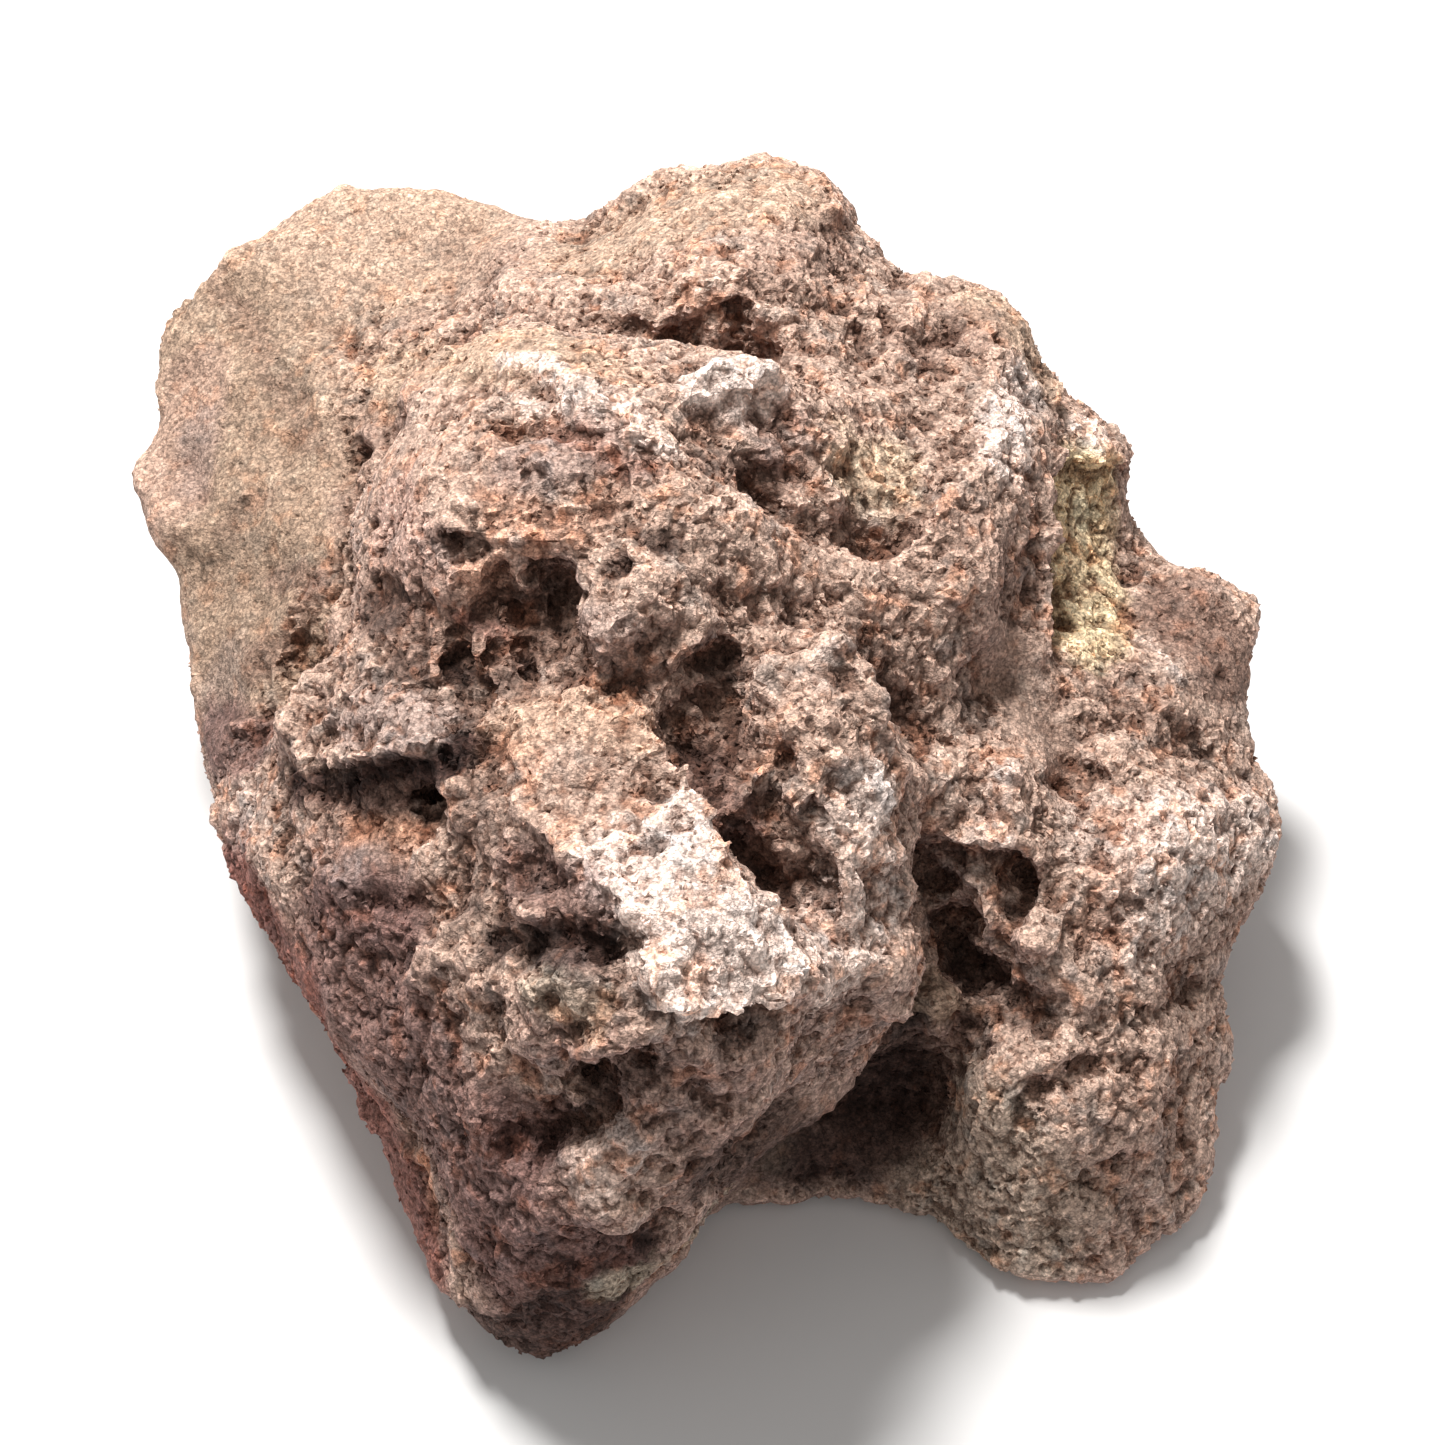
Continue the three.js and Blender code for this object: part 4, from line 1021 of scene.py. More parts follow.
def cell_node(tree, position, size, feature="F1"):
    """A Voronoi texture whose cells are about `size` across."""
    return add_node(tree, "ShaderNodeTexVoronoi", {"Vector": position, "Scale": 1 / size},
                    feature=feature).outputs


def tilt_of(tree, position, cells):
    """How far a place lies up the slope of its own cell, where each cell is tilted its own way."""
    across = vector_node(tree, "SUBTRACT", position, cells["Position"])
    return vector_node(tree, "DOT_PRODUCT", across, centred(tree, cells["Color"]))


def chance_of(tree, cells):
    """A random number from 0 to 1 for each cell."""
    return add_node(tree, "ShaderNodeSeparateXYZ", {0: cells["Color"]}).outputs[0]


def warped(tree, position, size, amount):
    """A position, pushed about by noise whose bumps are `size` apart."""
    swirl = centred(tree, noise_node(tree, position, size, 1.0)[1])
    return vector_node(tree, "ADD", position, vector_node(tree, "SCALE", swirl, 2 * amount))


# %% Patterns for the skin
# Each pattern takes the size of its cells in metres, and gives a height without a unit: down to -1
# in a pit or a cleft, and less than 1 either way on a facet.
DEEPEST = 0.2  # a pit or a cleft is at its deepest this far inside its outline, in cells


def pit_floor(tree, inside):
    """The floor of a pit or cleft, from 0 at its outline to -1."""
    return math_node(tree, "MULTIPLY", held(tree, inside, 0.0, DEEPEST), -1 / DEEPEST)


def pits(tree, position, size):
    """Burst bubbles: one round pit in every second cell of `size`."""
    cells = cell_node(tree, warped(tree, position, size, 0.3 * size), size)
    spare = math_node(tree, "SUBTRACT", chance_of(tree, cells), 0.5)
    radius = math_node(tree, "MULTIPLY", spare, 0.9)
    return pit_floor(tree, math_node(tree, "SUBTRACT", radius, cells["Distance"]))


def clefts(tree, position, size):
    """Short open cracks between lumps about `size` across, in patches."""
    place = warped(tree, position, 0.7 * size, 0.3 * size)
    edges = cell_node(tree, place, size, feature="DISTANCE_TO_EDGE")
    patch = noise_node(tree, position, 2 * size, 1.0)[0]
    opened = math_node(tree, "MULTIPLY_ADD", patch, 0.9, -0.32)
    return pit_floor(tree, math_node(tree, "SUBTRACT", opened, edges["Distance"]))


def facets(tree, position, size):
    """Broken facets about `size` across, each tilted its own way."""
    place = warped(tree, position, 1.5 * size, 0.35 * size)
    slope = tilt_of(tree, place, cell_node(tree, place, size))
    return math_node(tree, "DIVIDE", slope, size)


# %% Grow the skin
def named(tree, name):
    """An attribute of the piece, read inside a Geometry Nodes tree."""
    made = add_node(tree, "GeometryNodeInputNamedAttribute", {"Name": name}, data_type="FLOAT")
    return made.outputs["Attribute"]


def geometry_tree(name):
    """A new Geometry Nodes tree, with the sockets where a mesh comes in and goes out."""
    tree = bpy.data.node_groups.new(name, "GeometryNodeTree")
    for way in ("INPUT", "OUTPUT"):
        tree.interface.new_socket("Geometry", in_out=way, socket_type="NodeSocketGeometry")
    return tree, tree.nodes.new("NodeGroupInput").outputs[0], tree.nodes.new("NodeGroupOutput").inputs[0]


def grow(layers):
    """A Geometry Nodes tree in which each layer moves the surface along its normal."""
    tree, mesh_in, mesh_out = geometry_tree("skin")
    position = tree.nodes.new("GeometryNodeInputPosition").outputs[0]
    normal = tree.nodes.new("GeometryNodeInputNormal").outputs[0]
    calm = named(tree, "calm")
    total = 0.0
    for pattern, size, height, quiet in layers:
        lump = pattern(tree, position, size * MM)
        share = math_node(tree, "MULTIPLY_ADD", calm, quiet - 1, 1.0)
        layer = math_node(tree, "MULTIPLY", math_node(tree, "MULTIPLY", lump, share), height * MM)
        total = math_node(tree, "ADD", total, layer)
    offset = vector_node(tree, "SCALE", normal, total)
    moved = add_node(tree, "GeometryNodeSetPosition", {"Geometry": mesh_in, "Offset": offset})
    tree.links.new(moved.outputs[0], mesh_out)
    return tree


def calmness(piece):
    """How calm the skin is at each point of a piece, 0 to 1."""
    cover = brush_for(piece)
    return np.max([cover(*stroke) for stroke in CALM], axis=0)


def roughen(piece, layers):
    """Grows layers of skin on a piece, thinner where it is calm."""
    keep_attribute(piece, "calm", calmness(piece))
    apply_step(piece, "NODES", node_group=grow(layers))


# %% Roughen, carve again, and roughen finer
# Each layer: its pattern, its size and height in millimetres, and the share of it that is left
# where the skin is calm.
BROAD = [(facets, 13, 1.3, 0.9), (facets, 6, 0.8, 0.7)]
NARROW = [(facets, 3.2, 0.7, 0.5), (facets, 1.6, 0.6, 0.5), (clefts, 5.0, 0.6, 0.15),
          (clefts, 2.2, 0.45, 0.3), (pits, 4.5, 0.35, 0.0)]
RAGGED_DETAILS = 1.1 * MM
SMALL_BITE = 0.65  # a small cave is bored to this share of its written depth
DETAILS = (PLATE_DETAILS + CROWN_DETAILS + BACK_DETAILS + RIGHT_DETAILS + MIDDLE_DETAILS
           + SPUR_DETAILS + LEFT_DETAILS + FOOT_DETAILS)

roughen(rock, BROAD)
apply_step(rock, "REMESH", mode="VOXEL", voxel_size=VOXEL_FINE)
sculpt(rock, DETAILS, ragged=RAGGED_DETAILS, bite=SMALL_BITE)
apply_step(rock, "REMESH", mode="VOXEL", voxel_size=VOXEL_FINE)
roughen(rock, NARROW)
print("crumbled:", len(rock.data.vertices), "points")

# %% [markdown]
# ## Thinning the net
#
# The fine net has more triangles than a reusable part should carry. The Decimate modifier folds
# away the least needed ones, and flat places have many of those. Then the shading is smoothed,
# except across sharp folds: those stay crisp, as broken stone does.

# %% Thin it
MOST_TRIANGLES = 196_000
CREASE = math.radians(30)  # an edge folded more sharply than this stays crisp

apply_step(rock, "TRIANGULATE")
apply_step(rock, "DECIMATE", ratio=MOST_TRIANGLES / len(rock.data.polygons))
only(rock)
bpy.ops.object.shade_smooth_by_angle(angle=CREASE)
keep_attribute(rock, "calm", calmness(rock))
keep_attribute(rock, "tone", np.full(len(rock.data.vertices), 0.5))
print("triangles:", len(rock.data.polygons))

# %% Keep it on its feet
def level_feet(piece):
    """Lifts to the ground what has grown under it: the rock stands on the lowest of its lumps."""
    points = read_points(piece)
    under = points[:, 2] < 0
    points[under, 2] = 0
    write_points(piece, points)
    print(piece.name, "points lifted to the ground:", under.sum())


level_feet(rock)

# %% [markdown]
# ## Painted shade and dirt in the hollows, and worn high places
#
# The hollows are painted darker, as painted shade with some dirt, and high places are rubbed
# pale. Both can be read from the shape: smooth the shape away, and see on which side of the
# smooth copy each point lies. A little smoothing finds the cracks between grains, and a lot of it
# finds the hollows and caves.

# %% Measure the hollows
# Each kind of recess: how often the shape is smoothed to find it, the depth that counts as full,
# and whether settled dust hides it.
RECESSES = [("crack", 3, 0.12 * MM, True), ("hollow", 25, 0.6 * MM, True), ("cave", 220, 3.0 * MM, False)]


def relax(points, ends, rounds):
    """Moves every point to the mean of its neighbours, over and over."""
    first, second = ends.T
    count = np.bincount(ends.ravel(), minlength=len(points))[:, None]
    for _ in range(rounds):
        total = np.empty_like(points)
        for axis in range(3):
            total[:, axis] = (
                np.bincount(first, points[second, axis], len(points))
                + np.bincount(second, points[first, axis], len(points))
            )
        points = 0.5 * points + 0.5 * total / count
    return points


def depth_below(points, normals, ends, rounds):
    """How far each point lies under a smoothed copy of the surface: positive in a hollow."""
    return ((relax(points, ends, rounds) - points) * normals).sum(axis=1)


points = read_points(rock)
normals = read_normals(rock)
ends = np.empty(len(rock.data.edges) * 2, dtype=np.int32)
rock.data.edges.foreach_get("vertices", ends)
ends = ends.reshape(-1, 2)
shown = 1 - 0.75 * calmness(rock)
for name, rounds, full, dusted in RECESSES:
    depth = depth_below(points, normals, ends, rounds) / full
    print(name, "from shallow to deep:", np.round(np.percentile(depth, [5, 50, 95]), 2))
    keep_attribute(rock, name, np.clip(depth * shown if dusted else depth, -1, 1))

# %% [markdown]
# ## Colour, brushed on
#
# One lump of lava holds many colours: tan dust where it faces up, purple-brown where the melt
# stayed raw, rust where iron bled out, and pale ash on the worn ridges. Caves, recesses, creases
# and the lower flank are brushed darker as well: that is painted shade. The colours are brushed on
# as strokes, like the forms, and kept as a colour attribute of the mesh. First comes a coat that
# depends only on which way the surface faces, so that the back gets its share too.

# %% Colours
COLOURS = {
    "raw": (0.370, 0.245, 0.208),
    "dusty": (0.485, 0.335, 0.265),
    "dust": (0.470, 0.325, 0.226),
    "pink": (0.560, 0.350, 0.290),
    "slate": (0.290, 0.228, 0.215),
    "stone": (0.345, 0.240, 0.172),
    "bleach": (0.790, 0.630, 0.555),
    "rust": (0.520, 0.240, 0.140),
    "amber": (0.560, 0.370, 0.270),
    "olive": (0.800, 0.620, 0.400),
    "drab": (0.400, 0.325, 0.250),
    # the flank's own purple-brown, also brushed on the lower flank and in hollows as painted shade
    "plum_and_shade": (0.190, 0.105, 0.092),
    "brick": (0.250, 0.106, 0.086),
    # a brown that is mostly brushed along creases, steps and hollows as painted shade
    "umber_and_shade": (0.240, 0.145, 0.112),
    # near-black painted shade, brushed into caves and recesses where shade falls
    "painted_shade": (0.060, 0.032, 0.026),
}
print(len(COLOURS), "colours")

# %% Where each colour lies
# Each stroke: its colour, its path, its width, and the share of what lies under it that it covers.
# The near-black strokes in the caves and recesses are painted shade, and so in part are the umber
# strokes along creases, steps and hollows and the plum strokes on the lower flank.
PAINT = [
    ("dust", [(-40, 62), (-58, 50), (-60, 30), (-57, 14)], 20, 0.5),
    ("dust", [(-14, 60), (4, 66)], 12, 0.5),
    ("dust", [(-40, 44), (-30, 47), (-20, 46)], 8, 0.6),
    ("dust", [(34, 52), (39, 44)], 7, 0.6),
    ("stone", [(-64, 48), (-60, 34), (-58, 16)], 18, 0.8),
    ("pink", [(-66, 42), (-69, 28)], 8, 0.3),
    ("umber_and_shade", [(-63, 56), (-59, 49), (-54, 41), (-51, 35)], 2.4, 0.35),
    ("umber_and_shade", [(-31, 48), (-38, 44), (-44.5, 37), (-46.5, 28), (-48, 18)], 2.8, 0.45),
    ("umber_and_shade", [(-47, 46), (-40, 50)], 4.0, 0.3),
    ("umber_and_shade", [(-34, 60), (-28, 57)], 4.0, 0.25),
    ("umber_and_shade", [(-62, 24), (-57, 28)], 3.0, 0.3),
    ("slate", [(-65, 37), (-66, 30)], 4.0, 0.35),
    ("slate", [(-62, 6), (-64, -3)], 6.0, 0.35),
    ("plum_and_shade", [(-64, -1), (-59, -3)], 6.0, 0.8),
    ("umber_and_shade", [(-58, 7), (-53, 12), (-50, 17)], 3.6, 0.6),
    ("umber_and_shade", [(-55, 19), (-51, 17)], 2.8, 0.6),
    ("pink", [(-41, 26), (-38, 19)], 7, 0.5),
    ("slate", [(-26, 32), (-20, 33)], 4, 0.5),
    ("umber_and_shade", [(-28, 34), (-18, 33), (-10, 32)], 5.0, 0.3),
    ("rust", [(-28, 27), (-22, 25)], 3.5, 0.4),
    ("rust", [(-18, 24), (-15, 27)], 3.0, 0.3),
    ("rust", [(-30, 18), (-27, 14)], 4.0, 0.4),
    ("brick", [(-19, 36), (-11, 33)], 4.0, 0.4),
    ("amber", [(-12, 43), (-16, 44)], 4.0, 0.7),
    ("umber_and_shade", [(-42, 16), (-34, 12), (-26, 12)], 7.0, 0.7),
    ("painted_shade", [(-45, 14), (-40, 14)], 3.0, 0.6),
    ("painted_shade", [(-29, 16.5), (-20, 16)], 2.0, 0.5),
    ("painted_shade", [(-39, 7.6), (-33, 7)], 2.6, 0.7),
    ("painted_shade", [(-33, 5), (-28, 4.6), (-24, 7)], 2.2, 0.7),
    ("painted_shade", [(-35, 22), (-31, 22)], 2.4, 0.6),
    ("painted_shade", [(-28, 37)], 1.8, 0.4),
    ("brick", [(-33, 13), (-29, 11.5)], 2.0, 0.5),
    ("painted_shade", [(-6, 22.5), (-9, 22)], 2.4, 0.7),
    ("painted_shade", [(-12.5, 20)], 2.0, 0.7),
    ("umber_and_shade", [(-2, 32), (6, 31)], 3.4, 0.6),
    ("plum_and_shade", [(4, 39), (8, 35)], 5.0, 0.4),
    ("slate", [(-15, 11)], 5.0, 0.4),
    ("umber_and_shade", [(-18, 8), (-9, 9)], 5.5, 0.6),
    ("bleach", [(-27, 46), (-20, 44), (-15, 41), (-10, 37), (-5, 33.5)], 1.8, 0.8),
    ("bleach", [(-1, 42), (4, 42)], 5.0, 1.0),
    ("bleach", [(-22, 40), (-12, 39)], 4.0, 0.5),
    ("bleach", [(-12, -18), (-6, -26), (-2, -31)], 8.0, 0.95),
    ("bleach", [(3, -24), (6, -31)], 6.5, 0.95),
    ("bleach", [(-6, -11), (-4, -16)], 4.0, 0.7),
    ("bleach", [(12, 6)], 3.0, 0.3),
    ("bleach", [(20, -5), (19, -14)], 3.0, 0.5),
    ("bleach", [(19, -10), (18, -24), (14, -30)], 7.0, 0.6),
    ("bleach", [(48, -14), (62, -18), (52, -26)], 8.0, 0.4),
    ("bleach", [(35, 34), (37, 42)], 5.0, 0.8),
    ("bleach", [(46, 36)], 5.0, 0.8),
    ("bleach", [(33, -15), (35, -6)], 2.6, 0.5),
    ("bleach", [(57, -14), (66, -14)], 8.0, 0.6),
    ("amber", [(-26, 0), (-18, 2), (-10, 1)], 4.5, 0.75),
    ("rust", [(-27, -3), (-24, -5)], 2.4, 0.5),
    ("umber_and_shade", [(-31, -10), (-31, -18)], 4.0, 0.5),
    ("plum_and_shade", [(-24, -19), (-18, -23)], 6.0, 0.7),
    ("painted_shade", [(-27, -27.5), (-20, -28), (-15, -28.5)], 4.2, 0.85),
    ("painted_shade", [(-31, -22), (-33, -25)], 2.6, 0.6),
    ("plum_and_shade", [(-18, -38), (-12, -46), (-3, -46)], 9.0, 0.4),
    ("painted_shade", [(-16, -44.5), (-10, -43)], 2.8, 0.7),
    ("painted_shade", [(0, -38), (5, -38.5)], 2.2, 0.6),
    ("plum_and_shade", [(-46, -28), (-38, -45), (-28, -60), (-20, -70)], 15, 0.85),
    ("slate", [(-24, -68), (-27, -60)], 4, 0.3),
    ("bleach", [(-16, -57), (-12, -54)], 5.0, 0.3),
    ("plum_and_shade", [(-24, -50), (-29, -62), (-22, -76)], 7.0, 0.6),
    ("drab", [(-24, -33), (-17, -36)], 4.0, 0.6),
    ("rust", [(-37.5, -55), (-36, -62)], 2.2, 0.75),
    ("brick", [(-60, -20), (-52, -34), (-44, -50), (-38, -66)], 9.0, 0.9),
    ("amber", [(-32.5, -70.5)], 1.2, 0.7),
    ("painted_shade", [(-26, -78), (-20, -77), (-15, -70)], 10.0, 0.9),
    ("plum_and_shade", [(-24, -66), (-16, -66)], 6.0, 0.5),
    ("drab", [(-14, -71), (-3, -63), (8, -54)], 3.4, 0.7),
    ("painted_shade", [(0, -54), (10, -52), (18, -52), (21, -44)], 9.0, 0.8),
    ("painted_shade", [(22, -38), (20, -46), (14, -54)], 6.0, 0.8),
    ("painted_shade", [(30, -30), (35, -34), (40, -37.5)], 4.0, 0.6),
    ("painted_shade", [(31, -36)], 3.0, 0.6),
    ("stone", [(25, -34), (29, -35)], 3.2, 0.8),
    ("drab", [(32, -52), (38, -62), (30, -62)], 12, 0.5),
    ("umber_and_shade", [(48, -58), (54, -50)], 9, 0.3),
    ("rust", [(52, -12), (46, -25)], 3.0, 0.3),
    ("umber_and_shade", [(59, 13), (62, 8)], 9.0, 0.8),
    ("umber_and_shade", [(48, 8), (52, 3)], 5.0, 0.4),
    ("bleach", [(50, 11), (53, 10), (57, 5)], 1.3, 0.4),
    ("olive", [(44, 29), (45, 20), (44, 12)], 8.5, 1.0),
    ("rust", [(46, 17)], 2.0, 0.5),
    ("umber_and_shade", [(42.5, 13), (43, 25)], 2.0, 0.2),
    ("umber_and_shade", [(24, 47), (32, 50)], 5.0, 0.5),
    ("umber_and_shade", [(30, 24), (36, 14)], 7.0, 0.35),
    ("olive", [(16, 32), (21, 30)], 6.0, 0.35),
    ("umber_and_shade", [(2, 50), (6, 46)], 5.0, 0.4),
    ("umber_and_shade", [(7, 56), (14, 60)], 6.0, 0.4),
    ("umber_and_shade", [(0, -5), (1, -14), (5, -20)], 6.5, 0.9),
    ("plum_and_shade", [(-3, -7), (1, -12)], 4.5, 0.6),
    ("umber_and_shade", [(-3, -5), (-1, -10)], 4.0, 0.6),
    ("umber_and_shade", [(18, 8), (21, 2)], 3.4, 0.7),
    ("painted_shade", [(-1.5, 7.5), (1, 6)], 2.6, 0.6),
    ("painted_shade", [(-6, -4.5), (-2, -4.5)], 1.8, 0.5),
    ("slate", [(-46, 1), (-36, -1)], 6.0, 0.5),
    ("slate", [(-47, -18.5)], 4.5, 1.0),
    ("umber_and_shade", [(-47, -18.5)], 4.5, 0.3),
    ("painted_shade", [(-53, -8), (-46, -8.5), (-38, -6.5), (-31, -4)], 4.0, 1.0),
    ("umber_and_shade", [(-50, -11), (-38, -11)], 4.0, 0.5),
    ("rust", [(-46, -13), (-38, -13.5)], 2.4, 0.6),
    ("bleach", [(-60, -12)], 6.0, 0.35),
    ("brick", [(-61, -19), (-58, -24)], 5.0, 0.6),
    ("plum_and_shade", [(-50, -22), (-40, -24)], 5.0, 0.6),
]
print(len(PAINT), "strokes of paint")

# %% Brush the colours on
def paint(piece, strokes):
    """The colour of each point: a coat by which way it faces, then each stroke over it."""
    facing = np.clip((read_normals(piece)[:, 2] + 0.25) / 1.0, 0, 1)[:, None]
    coat = (1 - facing) * np.array(COLOURS["raw"]) + facing * np.array(COLOURS["dusty"])
    cover = brush_for(piece)
    for colour, *stroke in strokes:
        share = cover(*stroke)[:, None]
        coat = (1 - share) * coat + share * np.array(COLOURS[colour])
    return coat


coat = paint(rock, PAINT)
paint_layer = rock.data.attributes.new("paint", "FLOAT_COLOR", "POINT")
paint_layer.data.foreach_set("color", np.column_stack([coat, np.ones(len(coat))]).ravel())
print("darkest and palest red:", round(coat[:, 0].min(), 2), round(coat[:, 0].max(), 2))

# %% [markdown]
# ## Crumbs
#
# A lump of lava sheds crumbs: sharp chips of froth, about a millimetre across, that cling to the
# skin and fill its hollows. They could be bumps in the material, but a bump casts no shadow and has
# no edge against the light. Here Geometry Nodes scatters real chips: it picks random points on the
# skin, puts an eight-sided chip on each, turned and squashed its own way, and lets noise chip the
# corners. Larger crumbs gather in the hollows, where nothing sweeps them out, and finer grit lies
# nearly everywhere. The points carry the colour of the skin along, with its painted shade and dirt.

# %% Scatter the crumbs
CHIPPED = 0.5 * MM  # how far apart the noise is that chips their corners


def random_between(tree, low, high, seed, kind="FLOAT"):
    """A random number or vector for each point."""
    ends = {"FLOAT": (2, 3), "FLOAT_VECTOR": (0, 1)}[kind]
    made = add_node(tree, "FunctionNodeRandomValue", {"Seed": seed}, data_type=kind)
    for socket, value in zip(ends, (low, high)):
        made.inputs[socket].default_value = value
    return made.outputs[{"FLOAT": 1, "FLOAT_VECTOR": 0}[kind]]


def scatter(name, share, in_the_open, smallest, largest, seed):
    """A Geometry Nodes tree that turns a skin into the crumbs on it.

    `in_the_open` is how thickly they lie on a level skin, from 0 to 1; every hollow has more.
    """
    tree, mesh_in, mesh_out = geometry_tree(name)
    depth = math_node(tree, "MULTIPLY_ADD", named(tree, "hollow"), 0.9, in_the_open)
    kept = held(tree, depth, 0.0, 1.0)
    rough = math_node(tree, "MULTIPLY_ADD", named(tree, "calm"), -share, share)
    density = math_node(tree, "MULTIPLY", kept, rough)
    spots = add_node(tree, "GeometryNodeDistributePointsOnFaces",
                     {"Mesh": mesh_in, "Density": density, "Seed": seed})
    chip = add_node(tree, "GeometryNodeMeshUVSphere", {"Segments": 4, "Rings": 2, "Radius": 1.0})
    turn = random_between(tree, (0, 0, 0), (2 * math.pi,) * 3, seed + 1, "FLOAT_VECTOR")
    size = random_between(tree, (smallest,) * 3, (largest,) * 3, seed + 2, "FLOAT_VECTOR")
    placed = add_node(tree, "GeometryNodeInstanceOnPoints", {
        "Points": spots.outputs["Points"], "Instance": chip.outputs["Mesh"],
        "Rotation": turn, "Scale": size,
    })
    toned = add_node(tree, "GeometryNodeStoreNamedAttribute", {
        "Geometry": placed.outputs[0], "Name": "tone", "Value": random_between(tree, 0, 1, seed + 3),
    }, data_type="FLOAT", domain="INSTANCE")
    real = add_node(tree, "GeometryNodeRealizeInstances", {"Geometry": toned.outputs[0]})
    place = tree.nodes.new("GeometryNodeInputPosition").outputs[0]
    chipped = noise_node(tree, place, CHIPPED, 0.0)[1]
    push = vector_node(tree, "SCALE", centred(tree, chipped), largest)
    moved = add_node(tree, "GeometryNodeSetPosition", {"Geometry": real.outputs[0], "Offset": push})
    tree.links.new(moved.outputs[0], mesh_out)
    return tree


def crumbs_on(skin, name, share, in_the_open, smallest, largest, seed):
    """A new piece: crumbs on a skin, at most `share` of them to a square metre."""
    crumbs = skin.copy()
    crumbs.data = skin.data.copy()
    crumbs.name = name
    bpy.context.scene.collection.objects.link(crumbs)
    apply_step(crumbs, "NODES", node_group=scatter(name, share, in_the_open, smallest, largest, seed))
    print(name, len(crumbs.data.polygons), "faces")
    return crumbs


CRUMBS = [
    crumbs_on(rock, "crumbs", share=560_000, in_the_open=0.05, smallest=0.25 * MM, largest=0.65 * MM,
              seed=11),
    crumbs_on(rock, "grit", share=300_000, in_the_open=0.85, smallest=0.2 * MM, largest=0.45 * MM,
              seed=21),
]
for crumbs in CRUMBS:
    level_feet(crumbs)

# %% [markdown]
# ## The material
#
# Up close every grain catches light on one side and lies in shade on the other. So one pattern of
# grains drives two things at once: it dents the surface through a Bump node, and it gives each
# grain its own tone, with painted shade in the corners between. Broader noise shifts the colour a
# little towards rust, slate and bone, as minerals do. The measured hollows and cracks darken it
# with painted shade and some dirt. All of these multiply the brushed colour, so that none of them
# hides it.

# %% Shader helpers
def attribute(tree, name):
    return add_node(tree, "ShaderNodeAttribute", {}, attribute_name=name)


def ramp(tree, value, low_in, high_in, low_out, high_out):
    """A value carried from one range to another, and held inside it."""
    return add_node(tree, "ShaderNodeMapRange", {
        "Value": value, "From Min": low_in, "From Max": high_in,
        "To Min": low_out, "To Max": high_out,
    }, interpolation_type="SMOOTHSTEP").outputs["Result"]


def tinted(tree, colour, tint, share=1.0):
    """A colour multiplied by a tint, by a share of the way."""
    return add_node(tree, "ShaderNodeMix", {0: share, 6: colour, 7: tint}, data_type="RGBA",
                    blend_type="MULTIPLY").outputs[2]


def shade_by(tree, colour, value):
    """A colour multiplied by a grey value."""
    grey = add_node(tree, "ShaderNodeCombineColor", {0: value, 1: value, 2: value}).outputs[0]
    return tinted(tree, colour, grey)


def chips(tree, position, size):
    """Broken grains about `size` across: the height, each grain's own tone, and the gaps between."""
    cells = cell_node(tree, position, size)
    tone = chance_of(tree, cells)
    slope = tilt_of(tree, position, cells)
    height = math_node(tree, "MULTIPLY_ADD", slope, 1.5 / size, math_node(tree, "MULTIPLY", tone, 0.4))
    return height, tone, cells["Distance"]


# %% The lava material
# What the skin's colour is multiplied by where rust, slate and bleached grains show, and where
# pits and recesses are painted darker, as painted shade with some dirt.
RUSTY = (1.18, 0.82, 0.62, 1)
SLATY = (0.70, 0.78, 0.84, 1)
BONY = (1.26, 1.32, 1.34, 1)
SHADE_AND_DIRT = (0.42, 0.33, 0.29, 1)
COARSE_GRAIN = 1.0 * MM
MEDIUM_GRAIN = 0.45 * MM
FINE_GRAIN = 0.35 * MM
MOTTLED = 1.1 * MM
RELIEF = 0.2 * MM  # how deep the grains look

lava = bpy.data.materials.new("lava")
lava.use_nodes = True
tree = lava.node_tree
shader = tree.nodes["Principled BSDF"]
place = tree.nodes.new("ShaderNodeTexCoord").outputs["Object"]
# The same noise, read in another place, is a new pattern.
elsewhere = vector_node(tree, "ADD", place, (0.3, 0.1, 0.2))
beyond = vector_node(tree, "ADD", place, (0.1, 0.4, 0.3))
print("tints:", RUSTY[:3], SLATY[:3], BONY[:3], SHADE_AND_DIRT[:3])

# %% Its grains
# They come in three sizes, with fewer of the coarse ones where dust lies.
calm = attribute(tree, "calm").outputs["Fac"]
loud = math_node(tree, "MULTIPLY_ADD", calm, -0.45, 1.0)
bent = warped(tree, place, COARSE_GRAIN, 0.35 * COARSE_GRAIN)
coarse, coarse_tone, middle = chips(tree, bent, COARSE_GRAIN)
medium, medium_tone, gap = chips(tree, bent, MEDIUM_GRAIN)
fine = noise_node(tree, place, FINE_GRAIN, 1.0, 0.9)[0]
relief = math_node(tree, "MULTIPLY_ADD", medium, 0.5, coarse)
relief = math_node(tree, "MULTIPLY_ADD", relief, loud, fine)
# Burst bubbles: a round pit in the middle of about every third coarse grain.
burst = math_node(tree, "MULTIPLY", ramp(tree, middle, 0.2, 0.42, 1.0, 0.0),
                  ramp(tree, coarse_tone, 0.55, 0.7, 0.0, 1.0))
burst = math_node(tree, "MULTIPLY", burst, loud)
relief = math_node(tree, "MULTIPLY_ADD", burst, -0.8, relief)
print("grains, mm:", [round(size / MM, 2) for size in (COARSE_GRAIN, MEDIUM_GRAIN, FINE_GRAIN)])

# %% Its colour
colour = attribute(tree, "paint").outputs["Color"]
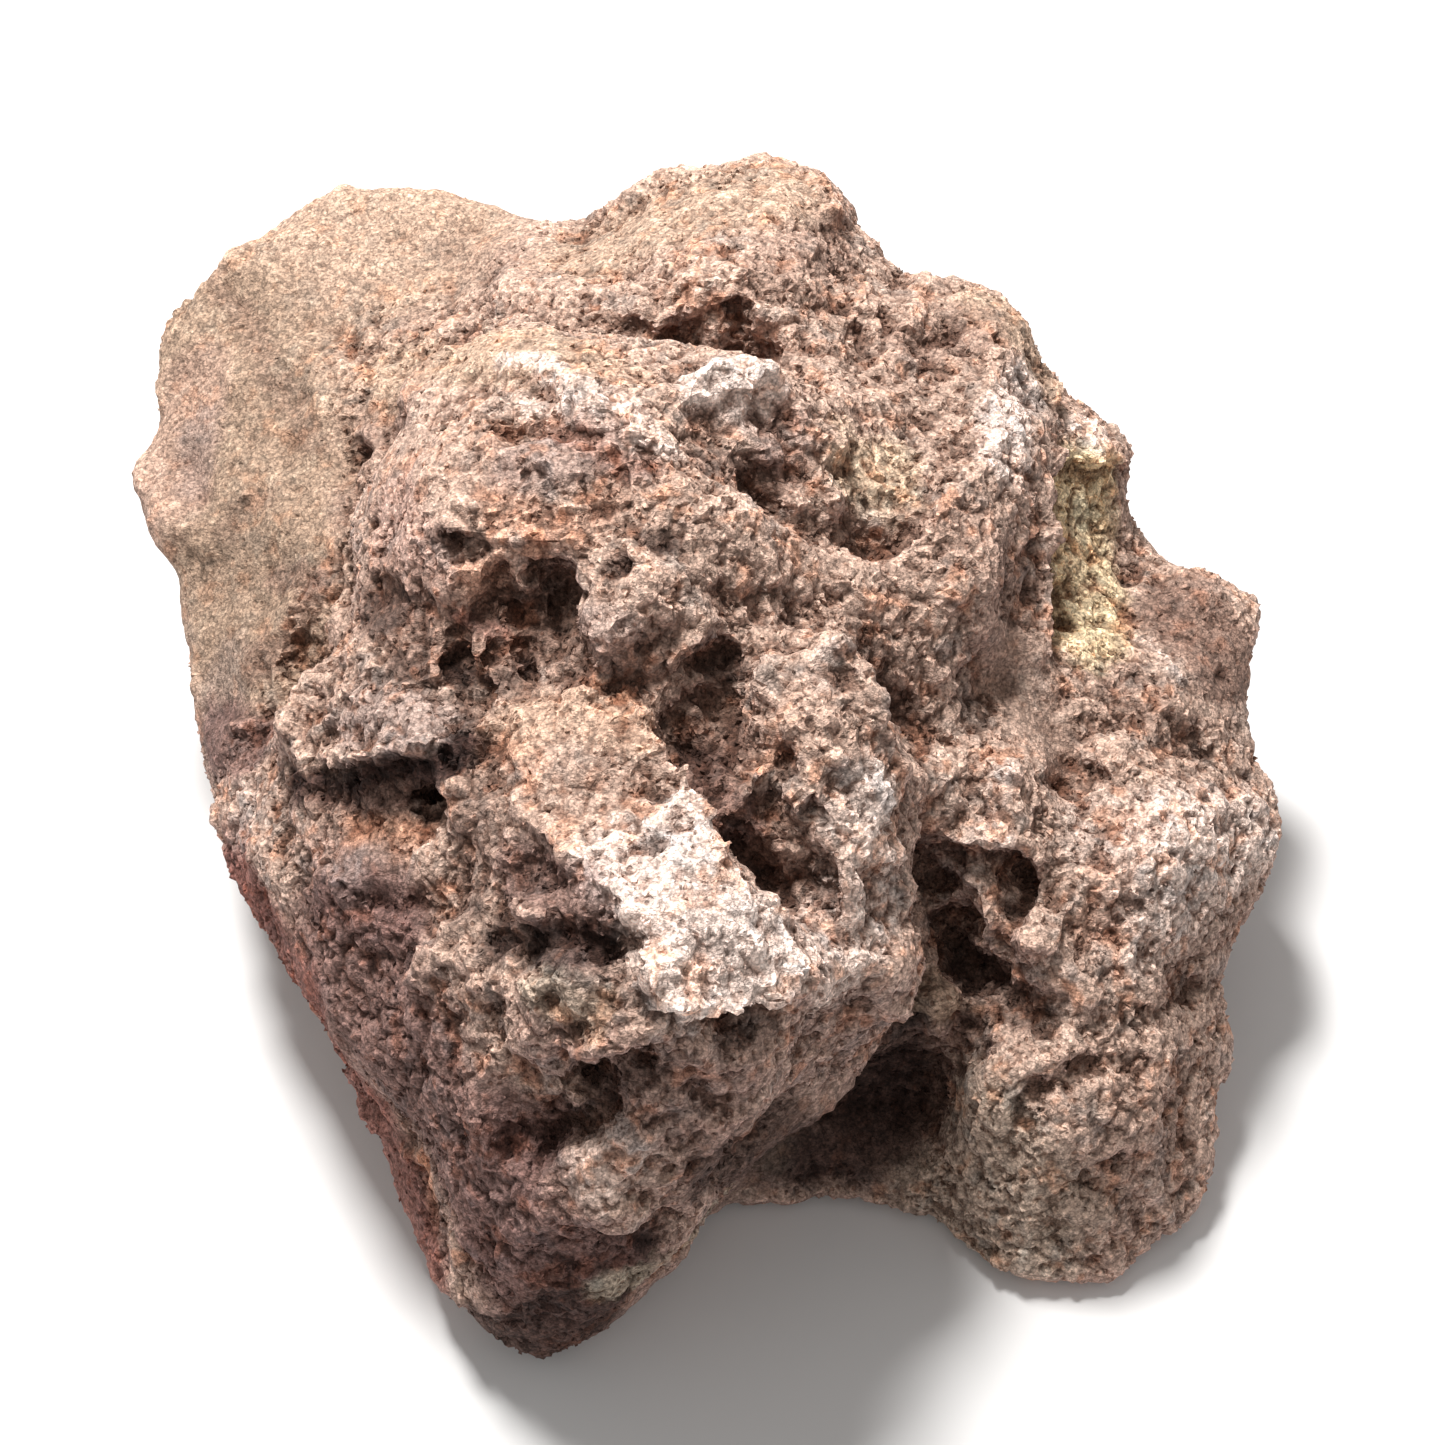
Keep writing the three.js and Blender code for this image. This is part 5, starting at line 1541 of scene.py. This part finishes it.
# Minerals show in patches: the tint, where the noise is read, the size and raggedness of the
# patches, the noise at which one begins and is full, its strength, and whether dust hides it.
for tint, where, size, ragged, begins, full, strength, dusted in (
    (RUSTY, place, 5 * MM, 0.8, 0.52, 0.68, 0.6, True),
    (SLATY, elsewhere, 6 * MM, 0.8, 0.52, 0.68, 0.8, True),
    (BONY, beyond, 3 * MM, 0.85, 0.53, 0.66, 0.8, False),
):
    patch = ramp(tree, noise_node(tree, where, size, 2.0, ragged)[0], begins, full, 0.0, strength)
    share = math_node(tree, "MULTIPLY", patch, loud) if dusted else patch
    colour = tinted(tree, colour, tint, share)
# Grains have their own tones. The fine noise and the two grain tones also raise the bump, so a
# low spot is darker too, which is partly painted shade. Each row: what drives a tone, its range,
# and what the darkest and the palest are multiplied by.
for driver, low_in, high_in, darkest, palest in (
    (noise_node(tree, elsewhere, MOTTLED, 2.0, 0.9)[0], 0.36, 0.64, 0.72, 1.26),
    (coarse_tone, 0.0, 1.0, 0.88, 1.12),
    (attribute(tree, "tone").outputs["Fac"], 0.0, 1.0, 0.8, 1.2),
    (medium_tone, 0.0, 1.0, 0.82, 1.18),
    (fine, 0.3, 0.7, 0.84, 1.16),
):
    colour = shade_by(tree, colour, ramp(tree, driver, low_in, high_in, darkest, palest))
# Painted shade in the burst pits.
colour = tinted(tree, colour, SHADE_AND_DIRT, math_node(tree, "MULTIPLY", burst, 0.8))
# Painted shade shows only in the corners where three grains meet.
colour = shade_by(tree, colour, ramp(tree, gap, 0.5, 0.75, 1.0, 0.62))
# Worn places are paler, and every recess is painted darker and redder: painted shade, with some
# dirt.
for name, pale, least, most, share in (
    ("crack", 1.12, 0.0, 1.0, 0.6), ("hollow", 1.15, 0.0, 1.0, 0.6), ("cave", 1.05, 0.1, 1.2, 0.4),
):
    depth = attribute(tree, name).outputs["Fac"]
    colour = shade_by(tree, colour, ramp(tree, depth, -0.9, 0.0, pale, 1.0))
    colour = tinted(tree, colour, SHADE_AND_DIRT, ramp(tree, depth, least, most, 0.0, share))
tree.links.new(colour, shader.inputs["Base Color"])
shader.inputs["Roughness"].default_value = 0.93
shader.inputs["Specular IOR Level"].default_value = 0.25

bump = add_node(tree, "ShaderNodeBump", {"Height": relief, "Strength": 1.0, "Distance": RELIEF})
tree.links.new(bump.outputs[0], shader.inputs["Normal"])
rock.data.materials.clear()
rock.data.materials.append(lava)
print("material:", len(tree.nodes), "nodes")

# %% [markdown]
# ## A plain studio
#
# Relief this fine only shows when most of the light comes from one side. One soft lamp hangs high
# behind the rock, to the left, and an even pale sky fills the shadows. The floor is plain paper,
# which also throws a little light back up under the brows.

# %% Floor and light
FLOOR = 6000 * MM
KEY_PLACE = Vector((-120, 190, 600)) * MM
KEY_SIZE = 140 * MM
KEY_POWER = 6.1  # watts
SKY_STRENGTH = 0.43
WARM_WHITE = (1, 0.98, 0.96)
PAPER = (0.8, 0.8, 0.8, 1)

bpy.ops.object.select_all(action="DESELECT")
bpy.ops.mesh.primitive_plane_add(size=FLOOR, location=(0, 0, 0))
floor = bpy.context.object
floor.name = "floor"
paper = bpy.data.materials.new("paper")
paper.use_nodes = True
paper.node_tree.nodes["Principled BSDF"].inputs["Base Color"].default_value = PAPER
paper.node_tree.nodes["Principled BSDF"].inputs["Roughness"].default_value = 1
floor.data.materials.append(paper)

world = bpy.data.worlds.new("studio")
bpy.context.scene.world = world
world.use_nodes = True
world.node_tree.nodes["Background"].inputs["Color"].default_value = (*WARM_WHITE, 1)
world.node_tree.nodes["Background"].inputs["Strength"].default_value = SKY_STRENGTH

bpy.ops.object.light_add(type="AREA", location=KEY_PLACE)
key = bpy.context.object
key.name = "key"
key.rotation_euler = (FACE_MIDDLE - key.location).to_track_quat("-Z", "Y").to_euler()
key.data.size = KEY_SIZE
key.data.energy = KEY_POWER
key.data.color = WARM_WHITE
bpy.context.scene.view_settings.view_transform = "Standard"
print("key light, mm:", [round(value / MM) for value in KEY_PLACE])

# %% Sizes and finish
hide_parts("lava_rock")
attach(rock, "root")
for crumbs in CRUMBS:
    crumbs.data.materials.clear()
    crumbs.data.materials.append(lava)
    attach(crumbs, "root")
for piece in (rock, *CRUMBS):
    print(piece.name, sum(len(face.vertices) - 2 for face in piece.data.polygons), "triangles")
